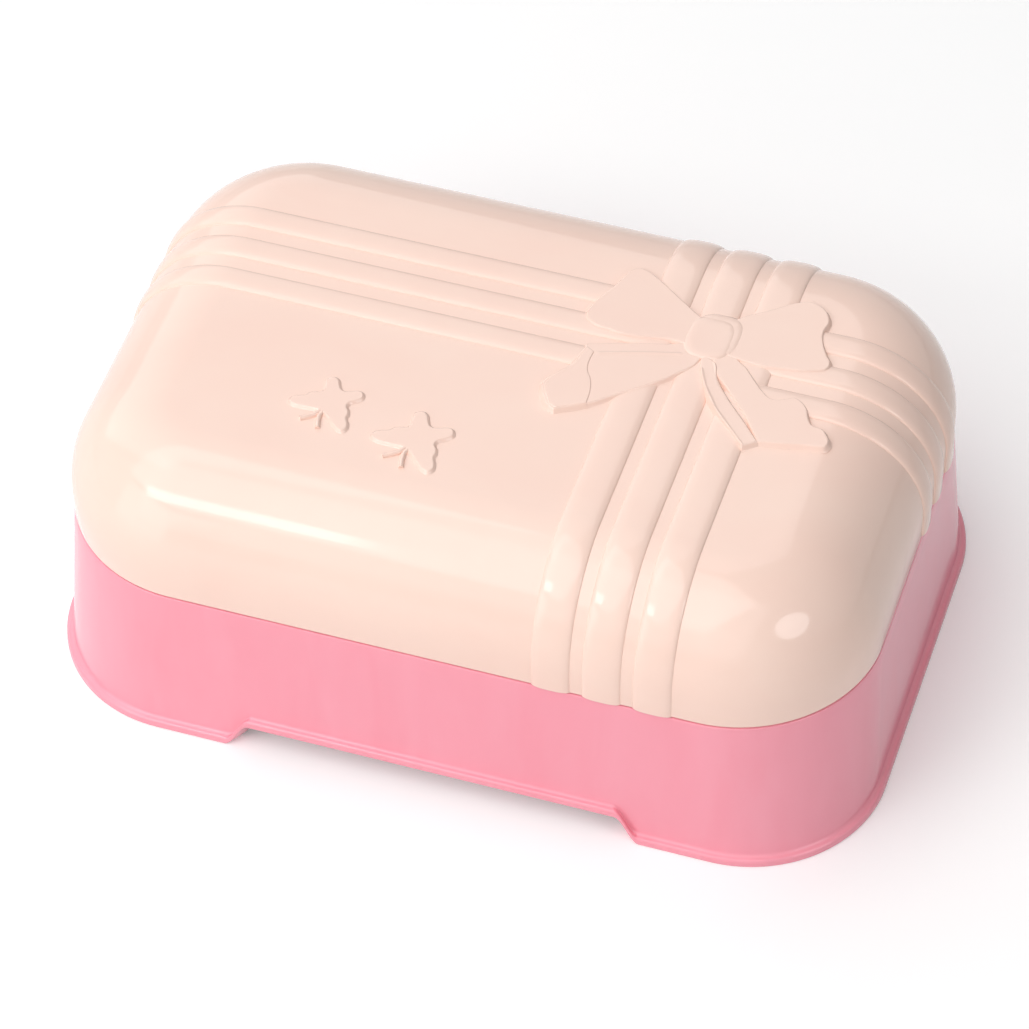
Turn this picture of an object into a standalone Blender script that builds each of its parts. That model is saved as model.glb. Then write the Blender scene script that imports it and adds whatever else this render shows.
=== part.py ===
"""Lidded soap box with a ribbon-and-bow relief on its domed lid.

Three mouldings: a skirted base that stands on an arched foot, a drain tray that hangs on a
ledge inside it, and a domed lid that sits over the base's lip.

Metres, +Z up. The origin is the centre of the foot's underside, the long side runs along X
and the front, with the lower half of the relief, faces -Y.
"""

from math import cos, pi, sin

import bmesh
import bpy

# Outline at the seam, shared by all three pieces
BOX_LENGTH = 0.1300
BOX_WIDTH = 0.0864
CORNER_RADIUS = 0.0230
CORNER_STEPS = 8

# Lid
SEAM_HEIGHT = 0.0295
SEAM_GAP = 0.0003
LID_WALL = 0.0016
LID_STRAIGHT = 0.0045
LID_FILLET = 0.0166
LID_FILLET_STEPS = 8

# Base: skirt, flange and arched foot
BASE_WALL = 0.0017
FOOT_FLARE = 0.0015
FOOT_CORNER_RADIUS = 0.0211
FLANGE_PROUD = 0.0011
FLANGE_HEIGHT = 0.0014
FLANGE_ROUND = 0.0005
NOTCH_WIDTH = 0.0641
NOTCH_HEIGHT = 0.0050
NOTCH_END_RUN = 0.0035
NOTCH_FLARE = 0.0018
NOTCH_END_STEPS = 6

# Base: lip that locates the lid, shelf inside it, ledge that carries the tray, and basin
SIDE_CLEARANCE = 0.0003
LIP_HEIGHT = 0.0032
LIP_WALL = 0.0014
LIP_CHAMFER = 0.0004
SHELF_WIDTH = 0.0033
LEDGE_DEPTH = 0.0033
LEDGE_WIDTH = 0.0022
BASIN_DRAFT = 0.0012
BASIN_FILLET = 0.0040
BASIN_CLEAR = 0.0012
FILLET_STEPS = 3

# Drain tray
TRAY_WALL = 0.0015
TRAY_CLEARANCE = 0.0004
TRAY_RIM_HEIGHT = 0.0016
TRAY_DEPTH = 0.0102
TRAY_DRAFT = 0.0010
TRAY_FILLET = 0.0030
SLOT_WIDTH = 0.0030
SLOT_LENGTH = 0.0220
SLOT_PITCH = 0.0090
SLOT_COUNT = 11
SLOT_ROW_PITCH = 0.0270
RIB_WIDTH = 0.0016
RIB_HEIGHT = 0.0018
RIB_LENGTH = 0.0500

# Ribbon bands moulded on the lid, three along its length and three across it
BAND_COUNT = 3
LONG_BAND_WIDTH = 0.0045
LONG_BAND_PITCH = 0.0069
LONG_BANDS_Y = 0.0119
CROSS_BAND_WIDTH = 0.0055
CROSS_BAND_PITCH = 0.0080
CROSS_BANDS_X = 0.0274
BAND_EDGE = 0.00048
BAND_CROWN = 0.0002
BAND_CROWN_STEPS = 4
RELIEF_SINK = 0.0006

# Bow over the crossing of the bands
BOW_SPAN = 0.0400
BOW_X = 0.0274
BOW_Y = 0.0138
LOOP_HEIGHT = 0.00110
WIDE_TAIL_HEIGHT = 0.00105
LEFT_TAIL_HEIGHT = 0.00100
LEFT_FOLD_HEIGHT = 0.00125
NARROW_TAIL_HEIGHT = 0.00130
RELIEF_CHAMFER = 0.0002
CREASE_RADIUS = 0.00030
KNOT_LENGTH = 0.0102
KNOT_WIDTH = 0.0092
KNOT_HEIGHT = 0.0019
KNOT_FOLD_SHIFT = 0.0008
KNOT_FOLD_HEIGHT = 0.0015
KNOT_SEGMENTS = 24
KNOT_RINGS = 12
BAND_END_SHARE = 0.205

# Butterflies: wingspan, height, place of the head and turn of the body from +Y towards +X
BUTTERFLY_HEIGHT = 0.0007
ANTENNA_RADIUS = 0.00028
FRONT_BUTTERFLY_SPAN = 0.0126
FRONT_BUTTERFLY_X = -0.0104
FRONT_BUTTERFLY_Y = -0.0217
FRONT_BUTTERFLY_TURN = 0.40
REAR_BUTTERFLY_SPAN = 0.0115
REAR_BUTTERFLY_X = -0.0253
REAR_BUTTERFLY_Y = -0.0181
REAR_BUTTERFLY_TURN = 0.35

# How far a cutter runs past what it cuts
CUT_OVERRUN = 0.0010

# Outlines of the bow, as shares of its span from the knot's centre. The third value is 1 at a
# sharp corner.
LEFT_LOOP_SHARES = (
    (-0.01, 0.07, 0), (-0.07, 0.11, 0), (-0.17, 0.18, 0), (-0.27, 0.25, 0), (-0.33, 0.285, 0),
    (-0.38, 0.29, 0), (-0.41, 0.26, 0), (-0.44, 0.18, 0), (-0.475, 0.105, 0), (-0.505, 0.02, 0),
    (-0.50, -0.03, 0), (-0.46, -0.065, 0), (-0.38, -0.08, 0), (-0.285, -0.085, 0),
    (-0.165, -0.065, 0), (-0.02, -0.045, 0),
)
RIGHT_LOOP_SHARES = (
    (0.03, 0.08, 0), (0.07, 0.14, 0), (0.175, 0.22, 0), (0.275, 0.295, 0), (0.31, 0.308, 0),
    (0.345, 0.305, 0), (0.385, 0.285, 0), (0.41, 0.255, 0), (0.425, 0.215, 0), (0.418, 0.16, 0),
    (0.43, 0.11, 0), (0.46, 0.05, 0), (0.485, 0.01, 0), (0.48, -0.03, 0), (0.43, -0.06, 0),
    (0.315, -0.085, 0), (0.17, -0.09, 0), (0.05, -0.055, 0),
)
LEFT_TAIL_SHARES = (
    (-0.01, -0.03, 0), (-0.165, -0.07, 0), (-0.28, -0.10, 0), (-0.455, -0.158, 1),
    (-0.47, -0.23, 0), (-0.49, -0.29, 0), (-0.525, -0.34, 0), (-0.553, -0.385, 0),
    (-0.557, -0.43, 0), (-0.53, -0.49, 0), (-0.50, -0.53, 0), (-0.465, -0.543, 1),
    (-0.34, -0.47, 0), (-0.265, -0.405, 0), (-0.14, -0.30, 0), (-0.075, -0.235, 0),
    (0.0, -0.13, 0),
)
LEFT_FOLD_SHARES = (
    (-0.45, -0.165, 1), (-0.395, -0.195, 1), (-0.40, -0.24, 0), (-0.395, -0.29, 0),
    (-0.365, -0.345, 0), (-0.35, -0.40, 0), (-0.345, -0.475, 1), (-0.463, -0.535, 1),
    (-0.495, -0.522, 0), (-0.52, -0.488, 0), (-0.545, -0.43, 0), (-0.542, -0.39, 0),
    (-0.515, -0.345, 0), (-0.48, -0.29, 0), (-0.462, -0.23, 0),
)
WIDE_TAIL_SHARES = (
    (0.04, -0.045, 0), (0.165, -0.09, 0), (0.22, -0.145, 0), (0.28, -0.207, 0),
    (0.315, -0.228, 0), (0.352, -0.218, 0), (0.39, -0.198, 0), (0.42, -0.205, 0),
    (0.462, -0.243, 0), (0.482, -0.29, 0), (0.50, -0.315, 0), (0.54, -0.323, 0),
    (0.568, -0.35, 0), (0.588, -0.385, 0), (0.58, -0.425, 0), (0.545, -0.437, 0),
    (0.50, -0.442, 0), (0.40, -0.463, 0), (0.315, -0.478, 1), (0.24, -0.37, 0),
    (0.14, -0.257, 0), (0.04, -0.13, 0),
)
NARROW_TAIL_SHARES = (
    (-0.005, -0.10, 0), (0.0, -0.17, 0), (0.04, -0.255, 0), (0.115, -0.3625, 0),
    (0.2225, -0.47, 0), (0.2725, -0.52, 1), (0.335, -0.47, 1), (0.245, -0.37, 0),
    (0.15, -0.2675, 0), (0.095, -0.195, 0), (0.055, -0.11, 0),
)

# Raised creases of the bow, as shares of its span
LEFT_CREASE_SHARES = ((-0.385, -0.20), (-0.235, -0.153), (-0.08, -0.113))
NARROW_CREASES_SHARES = (
    ((0.012, -0.17), (0.05, -0.25), (0.123, -0.354), (0.268, -0.503)),
    ((0.052, -0.12), (0.088, -0.19), (0.142, -0.262), (0.236, -0.366), (0.321, -0.462)),
)

# One side of a butterfly, from the head to the tail, as shares of its wingspan: along the
# body, then out from it
WING_SHARES = (
    (-0.024, 0.045), (-0.09, 0.23), (-0.137, 0.37), (-0.12, 0.47), (-0.03, 0.50), (0.06, 0.455),
    (0.15, 0.367), (0.18, 0.363), (0.26, 0.308), (0.315, 0.24), (0.45, 0.30), (0.53, 0.325),
    (0.60, 0.293), (0.635, 0.235), (0.615, 0.145), (0.55, 0.075),
)
TAIL_SHARE = 0.505
ANTENNA_SHARES = ((0.02, 0.02), (-0.06, 0.03), (-0.155, 0.085), (-0.24, 0.15))

# Heights and insets that follow from the sizes above
SHOULDER_HEIGHT = SEAM_HEIGHT - SEAM_GAP / 2
LID_SEAT = SEAM_HEIGHT + SEAM_GAP / 2
LID_TOP = LID_STRAIGHT + LID_FILLET
LIP_INSET = LID_WALL + SIDE_CLEARANCE
SHELF_INSET = LIP_INSET + LIP_WALL
RIM_INSET = SHELF_INSET + SHELF_WIDTH
LEDGE_HEIGHT = SHOULDER_HEIGHT - LEDGE_DEPTH
BASIN_INSET = RIM_INSET + LEDGE_WIDTH
BASIN_FLOOR = NOTCH_HEIGHT + BASIN_CLEAR + BASE_WALL
TRAY_SEAT = LEDGE_HEIGHT + SEAM_GAP
TRAY_RIM_INSET = RIM_INSET + TRAY_CLEARANCE
TRAY_WALL_INSET = BASIN_INSET + TRAY_CLEARANCE

PEACH = (0.98, 0.72, 0.63, 1.0)
PINK = (0.98, 0.37, 0.42, 1.0)
CREAM = (0.97, 0.80, 0.72, 1.0)


def clear_scene():
    """Remove the objects of the open scene."""
    for item in list(bpy.data.objects):
        bpy.data.objects.remove(item, do_unlink=True)


def new_collection(name):
    """A collection of that name, linked to the scene."""
    made = bpy.data.collections.new(name)
    bpy.context.scene.collection.children.link(made)
    return made


def plastic(name, colour, roughness):
    """A moulded plastic."""
    made = bpy.data.materials.new(name)
    made.use_nodes = True
    shader = made.node_tree.nodes["Principled BSDF"]
    shader.inputs["Base Color"].default_value = colour
    shader.inputs["Roughness"].default_value = roughness
    shader.inputs["Metallic"].default_value = 0.0
    return made


def add_object(name, data, collection, height=0.0):
    """An object with its origin on the box's upright axis, at that height."""
    made = bpy.data.objects.new(name, data)
    made.location.z = height
    collection.objects.link(made)
    return made


def make_cutter(item):
    """Mark an object that only cuts or joins another."""
    item.hide_render = True
    item.display_type = "WIRE"
    return item


def notch_stations(inset):
    """Places along a long side where the foot rises into its notch, with the rise there.

    The notch is widest at the flange's edge and narrows inwards through the wall.
    """
    depth_share = (inset + FLANGE_PROUD) / (BASE_WALL + FLANGE_PROUD)
    right = []
    for step in range(NOTCH_END_STEPS + 1):
        share = step / NOTCH_END_STEPS
        along = NOTCH_WIDTH / 2 + (share - 0.5) * NOTCH_END_RUN - depth_share * NOTCH_FLARE
        rise = NOTCH_HEIGHT * (1 - share * share * (3 - 2 * share))
        right.append((along, rise))
    left = [(-along, rise) for along, rise in reversed(right)]
    return left + right


def outline(length, width, radius, stations=()):
    """Points (x, y, rise) of a rounded rectangle, anticlockwise from above."""
    points = []
    for corner in range(4):
        start = corner * pi / 2
        side_x = 1 if corner in (0, 3) else -1
        side_y = 1 if corner < 2 else -1
        centre_x = side_x * (length / 2 - radius)
        centre_y = side_y * (width / 2 - radius)
        for step in range(CORNER_STEPS + 1):
            angle = start + step * pi / 2 / CORNER_STEPS
            points.append((centre_x + radius * cos(angle), centre_y + radius * sin(angle), 0.0))
        if corner in (0, 2):
            # Corner 0 leads onto the back side, walked towards -X, corner 2 onto the front
            turn = -1 if corner == 0 else 1
            for along, rise in stations:
                points.append((turn * along, side_y * width / 2, rise))
    return points


def seam_ring(inset, height, with_notches=False):
    """The seam's outline drawn in by the inset, level at that height."""
    stations = notch_stations(inset) if with_notches else ()
    points = outline(
        BOX_LENGTH - 2 * inset, BOX_WIDTH - 2 * inset, CORNER_RADIUS - inset, stations
    )
    return [(x, y, height) for x, y, rise in points]


def skirt_ring(inset, height, follows_foot=True):
    """A ring of the flared skirt, which rises with the foot's notches if it follows them."""
    stations = notch_stations(inset)
    top = outline(
        BOX_LENGTH - 2 * inset, BOX_WIDTH - 2 * inset, CORNER_RADIUS - inset, stations
    )
    foot_length = BOX_LENGTH + 2 * FOOT_FLARE
    foot_width = BOX_WIDTH + 2 * FOOT_FLARE
    foot = outline(
        foot_length - 2 * inset, foot_width - 2 * inset, FOOT_CORNER_RADIUS - inset, stations
    )
    ring = []
    for (top_x, top_y, rise), (foot_x, foot_y, _) in zip(top, foot):
        z = height + rise if follows_foot else height
        share = 1 - z / SHOULDER_HEIGHT
        ring.append((top_x + share * (foot_x - top_x), top_y + share * (foot_y - top_y), z))
    return ring


def fillet_rings(make_ring, inset, height, radius, steps, turn):
    """Rings round an inside or outside corner of a moulding's section.

    turn +1 runs from a wall up onto a roof, -1 from a wall down onto a floor.
    """
    rings = []
    for step in range(steps + 1):
        angle = step * pi / 2 / steps
        rings.append(
            make_ring(inset + radius * (1 - cos(angle)), height + turn * radius * sin(angle))
        )
    return rings


def loft(name, rings, material):
    """A closed mesh through rings of equal point counts, with both end rings capped."""
    mesh = bpy.data.meshes.new(name)
    build = bmesh.new()
    rows = [[build.verts.new(point) for point in ring] for ring in rings]
    count = len(rows[0])
    for row, following in zip(rows, rows[1:]):
        for place in range(count):
            after = (place + 1) % count
            build.faces.new((row[place], row[after], following[after], following[place]))
    build.faces.new(list(reversed(rows[0])))
    build.faces.new(rows[-1])
    bmesh.ops.recalc_face_normals(build, faces=build.faces)
    build.to_mesh(mesh)
    build.free()
    mesh.materials.append(material)
    return mesh


def finish(item):
    """Apply the cuts and joins, then shade smooth with the moulded edges kept crisp."""
    graph = bpy.context.evaluated_depsgraph_get()
    graph.update()
    mesh = bpy.data.meshes.new_from_object(item.evaluated_get(graph))
    item.modifiers.clear()
    item.data = mesh
    mesh.name = item.name
    mesh.shade_smooth()
    mesh.set_sharp_from_angle(angle=pi / 6)


def to_mesh_object(item, collection):
    """Turn a curve object into a welded mesh object in the same place."""
    graph = bpy.context.evaluated_depsgraph_get()
    graph.update()
    mesh = bpy.data.meshes.new_from_object(item.evaluated_get(graph))
    weld = bmesh.new()
    weld.from_mesh(mesh)
    bmesh.ops.remove_doubles(weld, verts=weld.verts, dist=RELIEF_CHAMFER / 20)
    bmesh.ops.recalc_face_normals(weld, faces=weld.faces)
    weld.to_mesh(mesh)
    weld.free()
    made = bpy.data.objects.new(item.name, mesh)
    made.matrix_world = item.matrix_world.copy()
    collection.objects.link(made)
    bpy.data.objects.remove(item, do_unlink=True)
    return make_cutter(made)


def closed_outline(name, points, height, collection):
    """A flat raised shape on the lid's top, sunk into it, through points (x, y, sharp)."""
    curve = bpy.data.curves.new(name, "CURVE")
    curve.dimensions = "2D"
    curve.fill_mode = "BOTH"
    curve.resolution_u = 3
    curve.extrude = (height + RELIEF_SINK) / 2 - RELIEF_CHAMFER
    curve.bevel_depth = RELIEF_CHAMFER
    curve.bevel_resolution = 0
    curve.offset = -RELIEF_CHAMFER
    spline = curve.splines.new("BEZIER")
    spline.bezier_points.add(len(points) - 1)
    spline.use_cyclic_u = True
    for knot, (x, y, sharp) in zip(spline.bezier_points, points):
        knot.co = (x, y, 0.0)
        kind = "VECTOR" if sharp else "AUTO"
        knot.handle_left_type = kind
        knot.handle_right_type = kind
    item = add_object(name, curve, collection, LID_SEAT + LID_TOP + (height - RELIEF_SINK) / 2)
    return to_mesh_object(item, collection)


def ridge(name, points, radius, height, collection):
    """A thin round ridge half sunk in a raised shape, through points (x, y)."""
    curve = bpy.data.curves.new(name, "CURVE")
    curve.dimensions = "3D"
    curve.bevel_depth = radius
    curve.bevel_resolution = 1
    curve.use_fill_caps = True
    spline = curve.splines.new("POLY")
    spline.points.add(len(points) - 1)
    for knot, (x, y) in zip(spline.points, points):
        knot.co = (x, y, 0.0, 1.0)
    return to_mesh_object(add_object(name, curve, collection, height), collection)


def band_section(width):
    """Profile of a ribbon band: a stepped edge on each side and a shallow crown between."""
    points = [(-width / 2, -RELIEF_SINK), (width / 2, -RELIEF_SINK)]
    for step in range(BAND_CROWN_STEPS + 1):
        share = 1 - 2 * step / BAND_CROWN_STEPS
        points.append((share * width / 2, BAND_EDGE + BAND_CROWN * (1 - share * share)))
    return points


def band_path(reach):
    """Path (along, up) of a band up one side of the lid, from below its edge to its top."""
    side = [(-reach, -CUT_OVERRUN)]
    for step in range(LID_FILLET_STEPS + 1):
        angle = step * pi / 2 / LID_FILLET_STEPS
        side.append(
            (-reach + LID_FILLET * (1 - cos(angle)), LID_STRAIGHT + LID_FILLET * sin(angle))
        )
    return side


def poly_curve(name, points, closed=False):
    """A polygon curve through points (x, y, z)."""
    curve = bpy.data.curves.new(name, "CURVE")
    curve.dimensions = "3D"
    spline = curve.splines.new("POLY")
    spline.points.add(len(points) - 1)
    spline.use_cyclic_u = closed
    for knot, (x, y, z) in zip(spline.points, points):
        knot.co = (x, y, z, 1.0)
    return curve


def ribbon_band(name, width, path, offset, turn, collection):
    """A band swept along its path across the lid, then turned about the upright axis."""
    section = poly_curve(name + "_section", [(x, y, 0.0) for x, y in band_section(width)], True)
    section.dimensions = "2D"
    guide = make_cutter(add_object(name + "_section", section, collection))
    sweep = poly_curve(name, [(0.0, along, up) for along, up in path])
    sweep.twist_mode = "MINIMUM"
    sweep.bevel_mode = "OBJECT"
    sweep.bevel_object = guide
    sweep.use_fill_caps = True
    item = add_object(name, sweep, collection, LID_SEAT)
    item.rotation_euler.z = turn
    item.location.x = offset * cos(turn)
    item.location.y = offset * sin(turn)
    made = to_mesh_object(item, collection)
    bpy.data.objects.remove(guide, do_unlink=True)
    return made


def add_bands(collection):
    """Three bands across the lid, and three along it that stop under the bow."""
    for number in range(BAND_COUNT):
        place = number - (BAND_COUNT - 1) / 2
        half = band_path(BOX_WIDTH / 2)
        across = half + [(-along, up) for along, up in reversed(half)]
        offset = CROSS_BANDS_X + place * CROSS_BAND_PITCH
        ribbon_band(f"cross_band_{number}", CROSS_BAND_WIDTH, across, offset, 0.0, collection)

        # Turned a quarter, a path along +Y runs along -X, so the sides change over
        left = [(-along, up) for along, up in band_path(BOX_LENGTH / 2)]
        left.append((-(BOW_X - BAND_END_SHARE * BOW_SPAN), LID_TOP))
        right = band_path(BOX_LENGTH / 2)
        right.append((-(BOW_X + BAND_END_SHARE * BOW_SPAN), LID_TOP))
        offset = LONG_BANDS_Y + place * LONG_BAND_PITCH
        for side, path in (("left", left[::-1]), ("right", right)):
            name = f"long_band_{side}_{number}"
            ribbon_band(name, LONG_BAND_WIDTH, path, offset, pi / 2, collection)


def bow_points(shares):
    """Points on the lid's top from shares of the bow's span."""
    return [(BOW_X + share[0] * BOW_SPAN, BOW_Y + share[1] * BOW_SPAN) + tuple(share[2:])
            for share in shares]


def knot_dome(name, shift, height, collection):
    """A flattened ball whose upper half stands on the lid's top."""
    mesh = bpy.data.meshes.new(name)
    build = bmesh.new()
    bmesh.ops.create_uvsphere(
        build, u_segments=KNOT_SEGMENTS, v_segments=KNOT_RINGS, radius=1.0
    )
    bmesh.ops.scale(build, verts=build.verts, vec=(KNOT_WIDTH / 2, KNOT_LENGTH / 2, height))
    bmesh.ops.bisect_plane(
        build, geom=build.verts[:] + build.edges[:] + build.faces[:],
        plane_co=(0.0, 0.0, -RELIEF_SINK), plane_no=(0.0, 0.0, -1.0), clear_outer=True
    )
    bmesh.ops.holes_fill(build, edges=build.edges)
    build.to_mesh(mesh)
    build.free()
    item = add_object(name, mesh, collection, LID_SEAT + LID_TOP)
    item.location.x = BOW_X + shift
    item.location.y = BOW_Y
    return make_cutter(item)


def add_bow(collection):
    """Two loops, a folded tail to the left, a wide and a narrow tail to the right, a knot."""
    top = LID_SEAT + LID_TOP
    for name, shares, height in (
        ("left_loop", LEFT_LOOP_SHARES, LOOP_HEIGHT),
        ("right_loop", RIGHT_LOOP_SHARES, LOOP_HEIGHT),
        ("left_tail", LEFT_TAIL_SHARES, LEFT_TAIL_HEIGHT),
        ("left_fold", LEFT_FOLD_SHARES, LEFT_FOLD_HEIGHT),
        ("wide_tail", WIDE_TAIL_SHARES, WIDE_TAIL_HEIGHT),
        ("narrow_tail", NARROW_TAIL_SHARES, NARROW_TAIL_HEIGHT),
    ):
        closed_outline(name, bow_points(shares), height, collection)
    ridge("left_crease", bow_points(LEFT_CREASE_SHARES), CREASE_RADIUS,
          top + LEFT_TAIL_HEIGHT, collection)
    for number, shares in enumerate(NARROW_CREASES_SHARES):
        ridge(f"narrow_crease_{number}", bow_points(shares), CREASE_RADIUS,
              top + NARROW_TAIL_HEIGHT, collection)
    knot_dome("knot", 0.0, KNOT_HEIGHT, collection)
    knot_dome("knot_fold", KNOT_FOLD_SHIFT, KNOT_FOLD_HEIGHT, collection)


def add_butterfly(name, span, head_x, head_y, turn, collection):
    """A butterfly whose body runs from its head along the turned +Y direction."""
    def place(along, out):
        return (
            head_x + span * (along * sin(turn) + out * cos(turn)),
            head_y + span * (along * cos(turn) - out * sin(turn)),
        )

    right = [place(along, out) + (0,) for along, out in WING_SHARES]
    left = [place(along, -out) + (0,) for along, out in reversed(WING_SHARES)]
    tail = [place(TAIL_SHARE, 0.0) + (0,)]
    closed_outline(name, right + tail + left, BUTTERFLY_HEIGHT, collection)
    for side, sign in (("right", 1), ("left", -1)):
        points = [place(along, sign * out) for along, out in ANTENNA_SHARES]
        ridge(f"{name}_antenna_{side}", points, ANTENNA_RADIUS,
              LID_SEAT + LID_TOP + ANTENNA_RADIUS / 2, collection)


def boolean(item, name, operation, tools):
    """Cut or join the objects of a collection with an object."""
    change = item.modifiers.new(name, "BOOLEAN")
    change.operation = operation
    change.operand_type = "COLLECTION"
    change.collection = tools
    change.solver = "EXACT"


def make_lid(collection, cutters, material):
    """A domed shell with the ribbon relief standing on it."""
    inner_fillet = LID_FILLET - LID_WALL
    inside = fillet_rings(seam_ring, LID_WALL, LID_STRAIGHT, inner_fillet, LID_FILLET_STEPS, 1)
    outside = fillet_rings(seam_ring, 0.0, LID_STRAIGHT, LID_FILLET, LID_FILLET_STEPS, 1)
    rings = inside[::-1]
    rings.append(seam_ring(LID_WALL, -CUT_OVERRUN))
    rings.append(seam_ring(0.0, -CUT_OVERRUN))
    rings += outside
    lid = add_object("lid", loft("lid", rings, material), collection, LID_SEAT)

    relief = bpy.data.collections.new("lid_relief")
    cutters.children.link(relief)
    add_bands(relief)
    add_bow(relief)
    add_butterfly("front_butterfly", FRONT_BUTTERFLY_SPAN, FRONT_BUTTERFLY_X,
                  FRONT_BUTTERFLY_Y, FRONT_BUTTERFLY_TURN, relief)
    add_butterfly("rear_butterfly", REAR_BUTTERFLY_SPAN, REAR_BUTTERFLY_X,
                  REAR_BUTTERFLY_Y, REAR_BUTTERFLY_TURN, relief)
    boolean(lid, "relief", "UNION", relief)

    trims = bpy.data.collections.new("lid_trim")
    cutters.children.link(trims)
    trim = bmesh.new()
    bmesh.ops.create_cube(trim, size=1.0)
    bmesh.ops.scale(
        trim, verts=trim.verts,
        vec=(BOX_LENGTH + BOX_WIDTH, BOX_WIDTH + BOX_WIDTH, 4 * CUT_OVERRUN)
    )
    mesh = bpy.data.meshes.new("lid_trim")
    trim.to_mesh(mesh)
    trim.free()
    make_cutter(add_object("lid_trim", mesh, trims, LID_SEAT - 2 * CUT_OVERRUN))
    boolean(lid, "trim", "DIFFERENCE", trims)
    return lid


def make_base(collection, material):
    """Flared skirt on an arched, flanged foot, turned in at the top to carry the basin."""
    def level_ring(inset, height):
        return seam_ring(inset, height, True)

    def inner_ring(inset, height):
        # The basin's draft grows with the depth below the ledge
        share = (LEDGE_HEIGHT - height) / (LEDGE_HEIGHT - BASIN_FLOOR)
        return level_ring(inset + BASIN_DRAFT * share, height)

    basin = fillet_rings(
        inner_ring, BASIN_INSET, BASIN_FLOOR + BASIN_FILLET, BASIN_FILLET, FILLET_STEPS, -1
    )
    rings = basin[::-1]
    rings.append(level_ring(BASIN_INSET, LEDGE_HEIGHT))
    rings.append(level_ring(RIM_INSET, LEDGE_HEIGHT))
    rings.append(level_ring(RIM_INSET, SHOULDER_HEIGHT))
    rings.append(level_ring(SHELF_INSET, SHOULDER_HEIGHT))
    lip_top = SHOULDER_HEIGHT + LIP_HEIGHT
    rings.append(level_ring(SHELF_INSET, lip_top - LIP_CHAMFER))
    rings.append(level_ring(SHELF_INSET - LIP_CHAMFER, lip_top))
    rings.append(level_ring(LIP_INSET + LIP_CHAMFER, lip_top))
    rings.append(level_ring(LIP_INSET, lip_top - LIP_CHAMFER))
    rings.append(level_ring(LIP_INSET, SHOULDER_HEIGHT))
    rings.append(skirt_ring(0.0, SHOULDER_HEIGHT, False))

    # The flange: up its outer face from the wall, round both edges, and under the foot
    rings.append(skirt_ring(0.0, FLANGE_HEIGHT))
    out = FLANGE_PROUD - FLANGE_ROUND
    for step in range(FILLET_STEPS + 1):
        angle = pi / 2 - step * pi / 2 / FILLET_STEPS
        rings.append(skirt_ring(
            -out - FLANGE_ROUND * cos(angle),
            FLANGE_HEIGHT - FLANGE_ROUND + FLANGE_ROUND * sin(angle)
        ))
    rings.append(skirt_ring(-FLANGE_PROUD, FLANGE_ROUND / 2))
    rings.append(skirt_ring(FLANGE_ROUND / 2 - FLANGE_PROUD, 0.0))
    rings.append(skirt_ring(BASE_WALL, 0.0))

    # Inside the skirt up to the shelf, under the shelf and the ledge, and down the basin
    under_shelf = SHOULDER_HEIGHT - BASE_WALL
    under_ledge = LEDGE_HEIGHT - BASE_WALL
    outer_inset = BASIN_INSET - BASE_WALL
    rings.append(skirt_ring(BASE_WALL, under_shelf, False))
    rings.append(level_ring(RIM_INSET - BASE_WALL, under_shelf))
    rings.append(level_ring(RIM_INSET - BASE_WALL, under_ledge))
    rings.append(level_ring(outer_inset, under_ledge))
    radius = BASIN_FILLET + BASE_WALL
    rings += fillet_rings(
        inner_ring, outer_inset, BASIN_FLOOR + BASIN_FILLET, radius, FILLET_STEPS, -1
    )
    return add_object("base", loft("base", rings, material), collection)


def rounded_bar(name, size, corner, axis, collection, height, material=None):
    """A bar centred on its origin, with the edges along one axis rounded."""
    mesh = bpy.data.meshes.new(name)
    build = bmesh.new()
    bmesh.ops.create_cube(build, size=1.0)
    bmesh.ops.scale(build, verts=build.verts, vec=size)
    edges = [edge for edge in build.edges
             if abs((edge.verts[0].co - edge.verts[1].co)[axis]) > size[axis] / 2]
    bmesh.ops.bevel(build, geom=edges, offset=corner, segments=4, profile=0.5, affect="EDGES")
    build.to_mesh(mesh)
    build.free()
    if material:
        mesh.materials.append(material)
    return add_object(name, mesh, collection, height)


def repeat(item, name, count, step):
    """Copies of an object in a row, centred on where it was."""
    for axis in range(3):
        item.location[axis] -= step[axis] * (count - 1) / 2
    row = item.modifiers.new(name, "ARRAY")
    row.count = count
    row.use_relative_offset = False
    row.use_constant_offset = True
    row.constant_offset_displace = step


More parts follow.
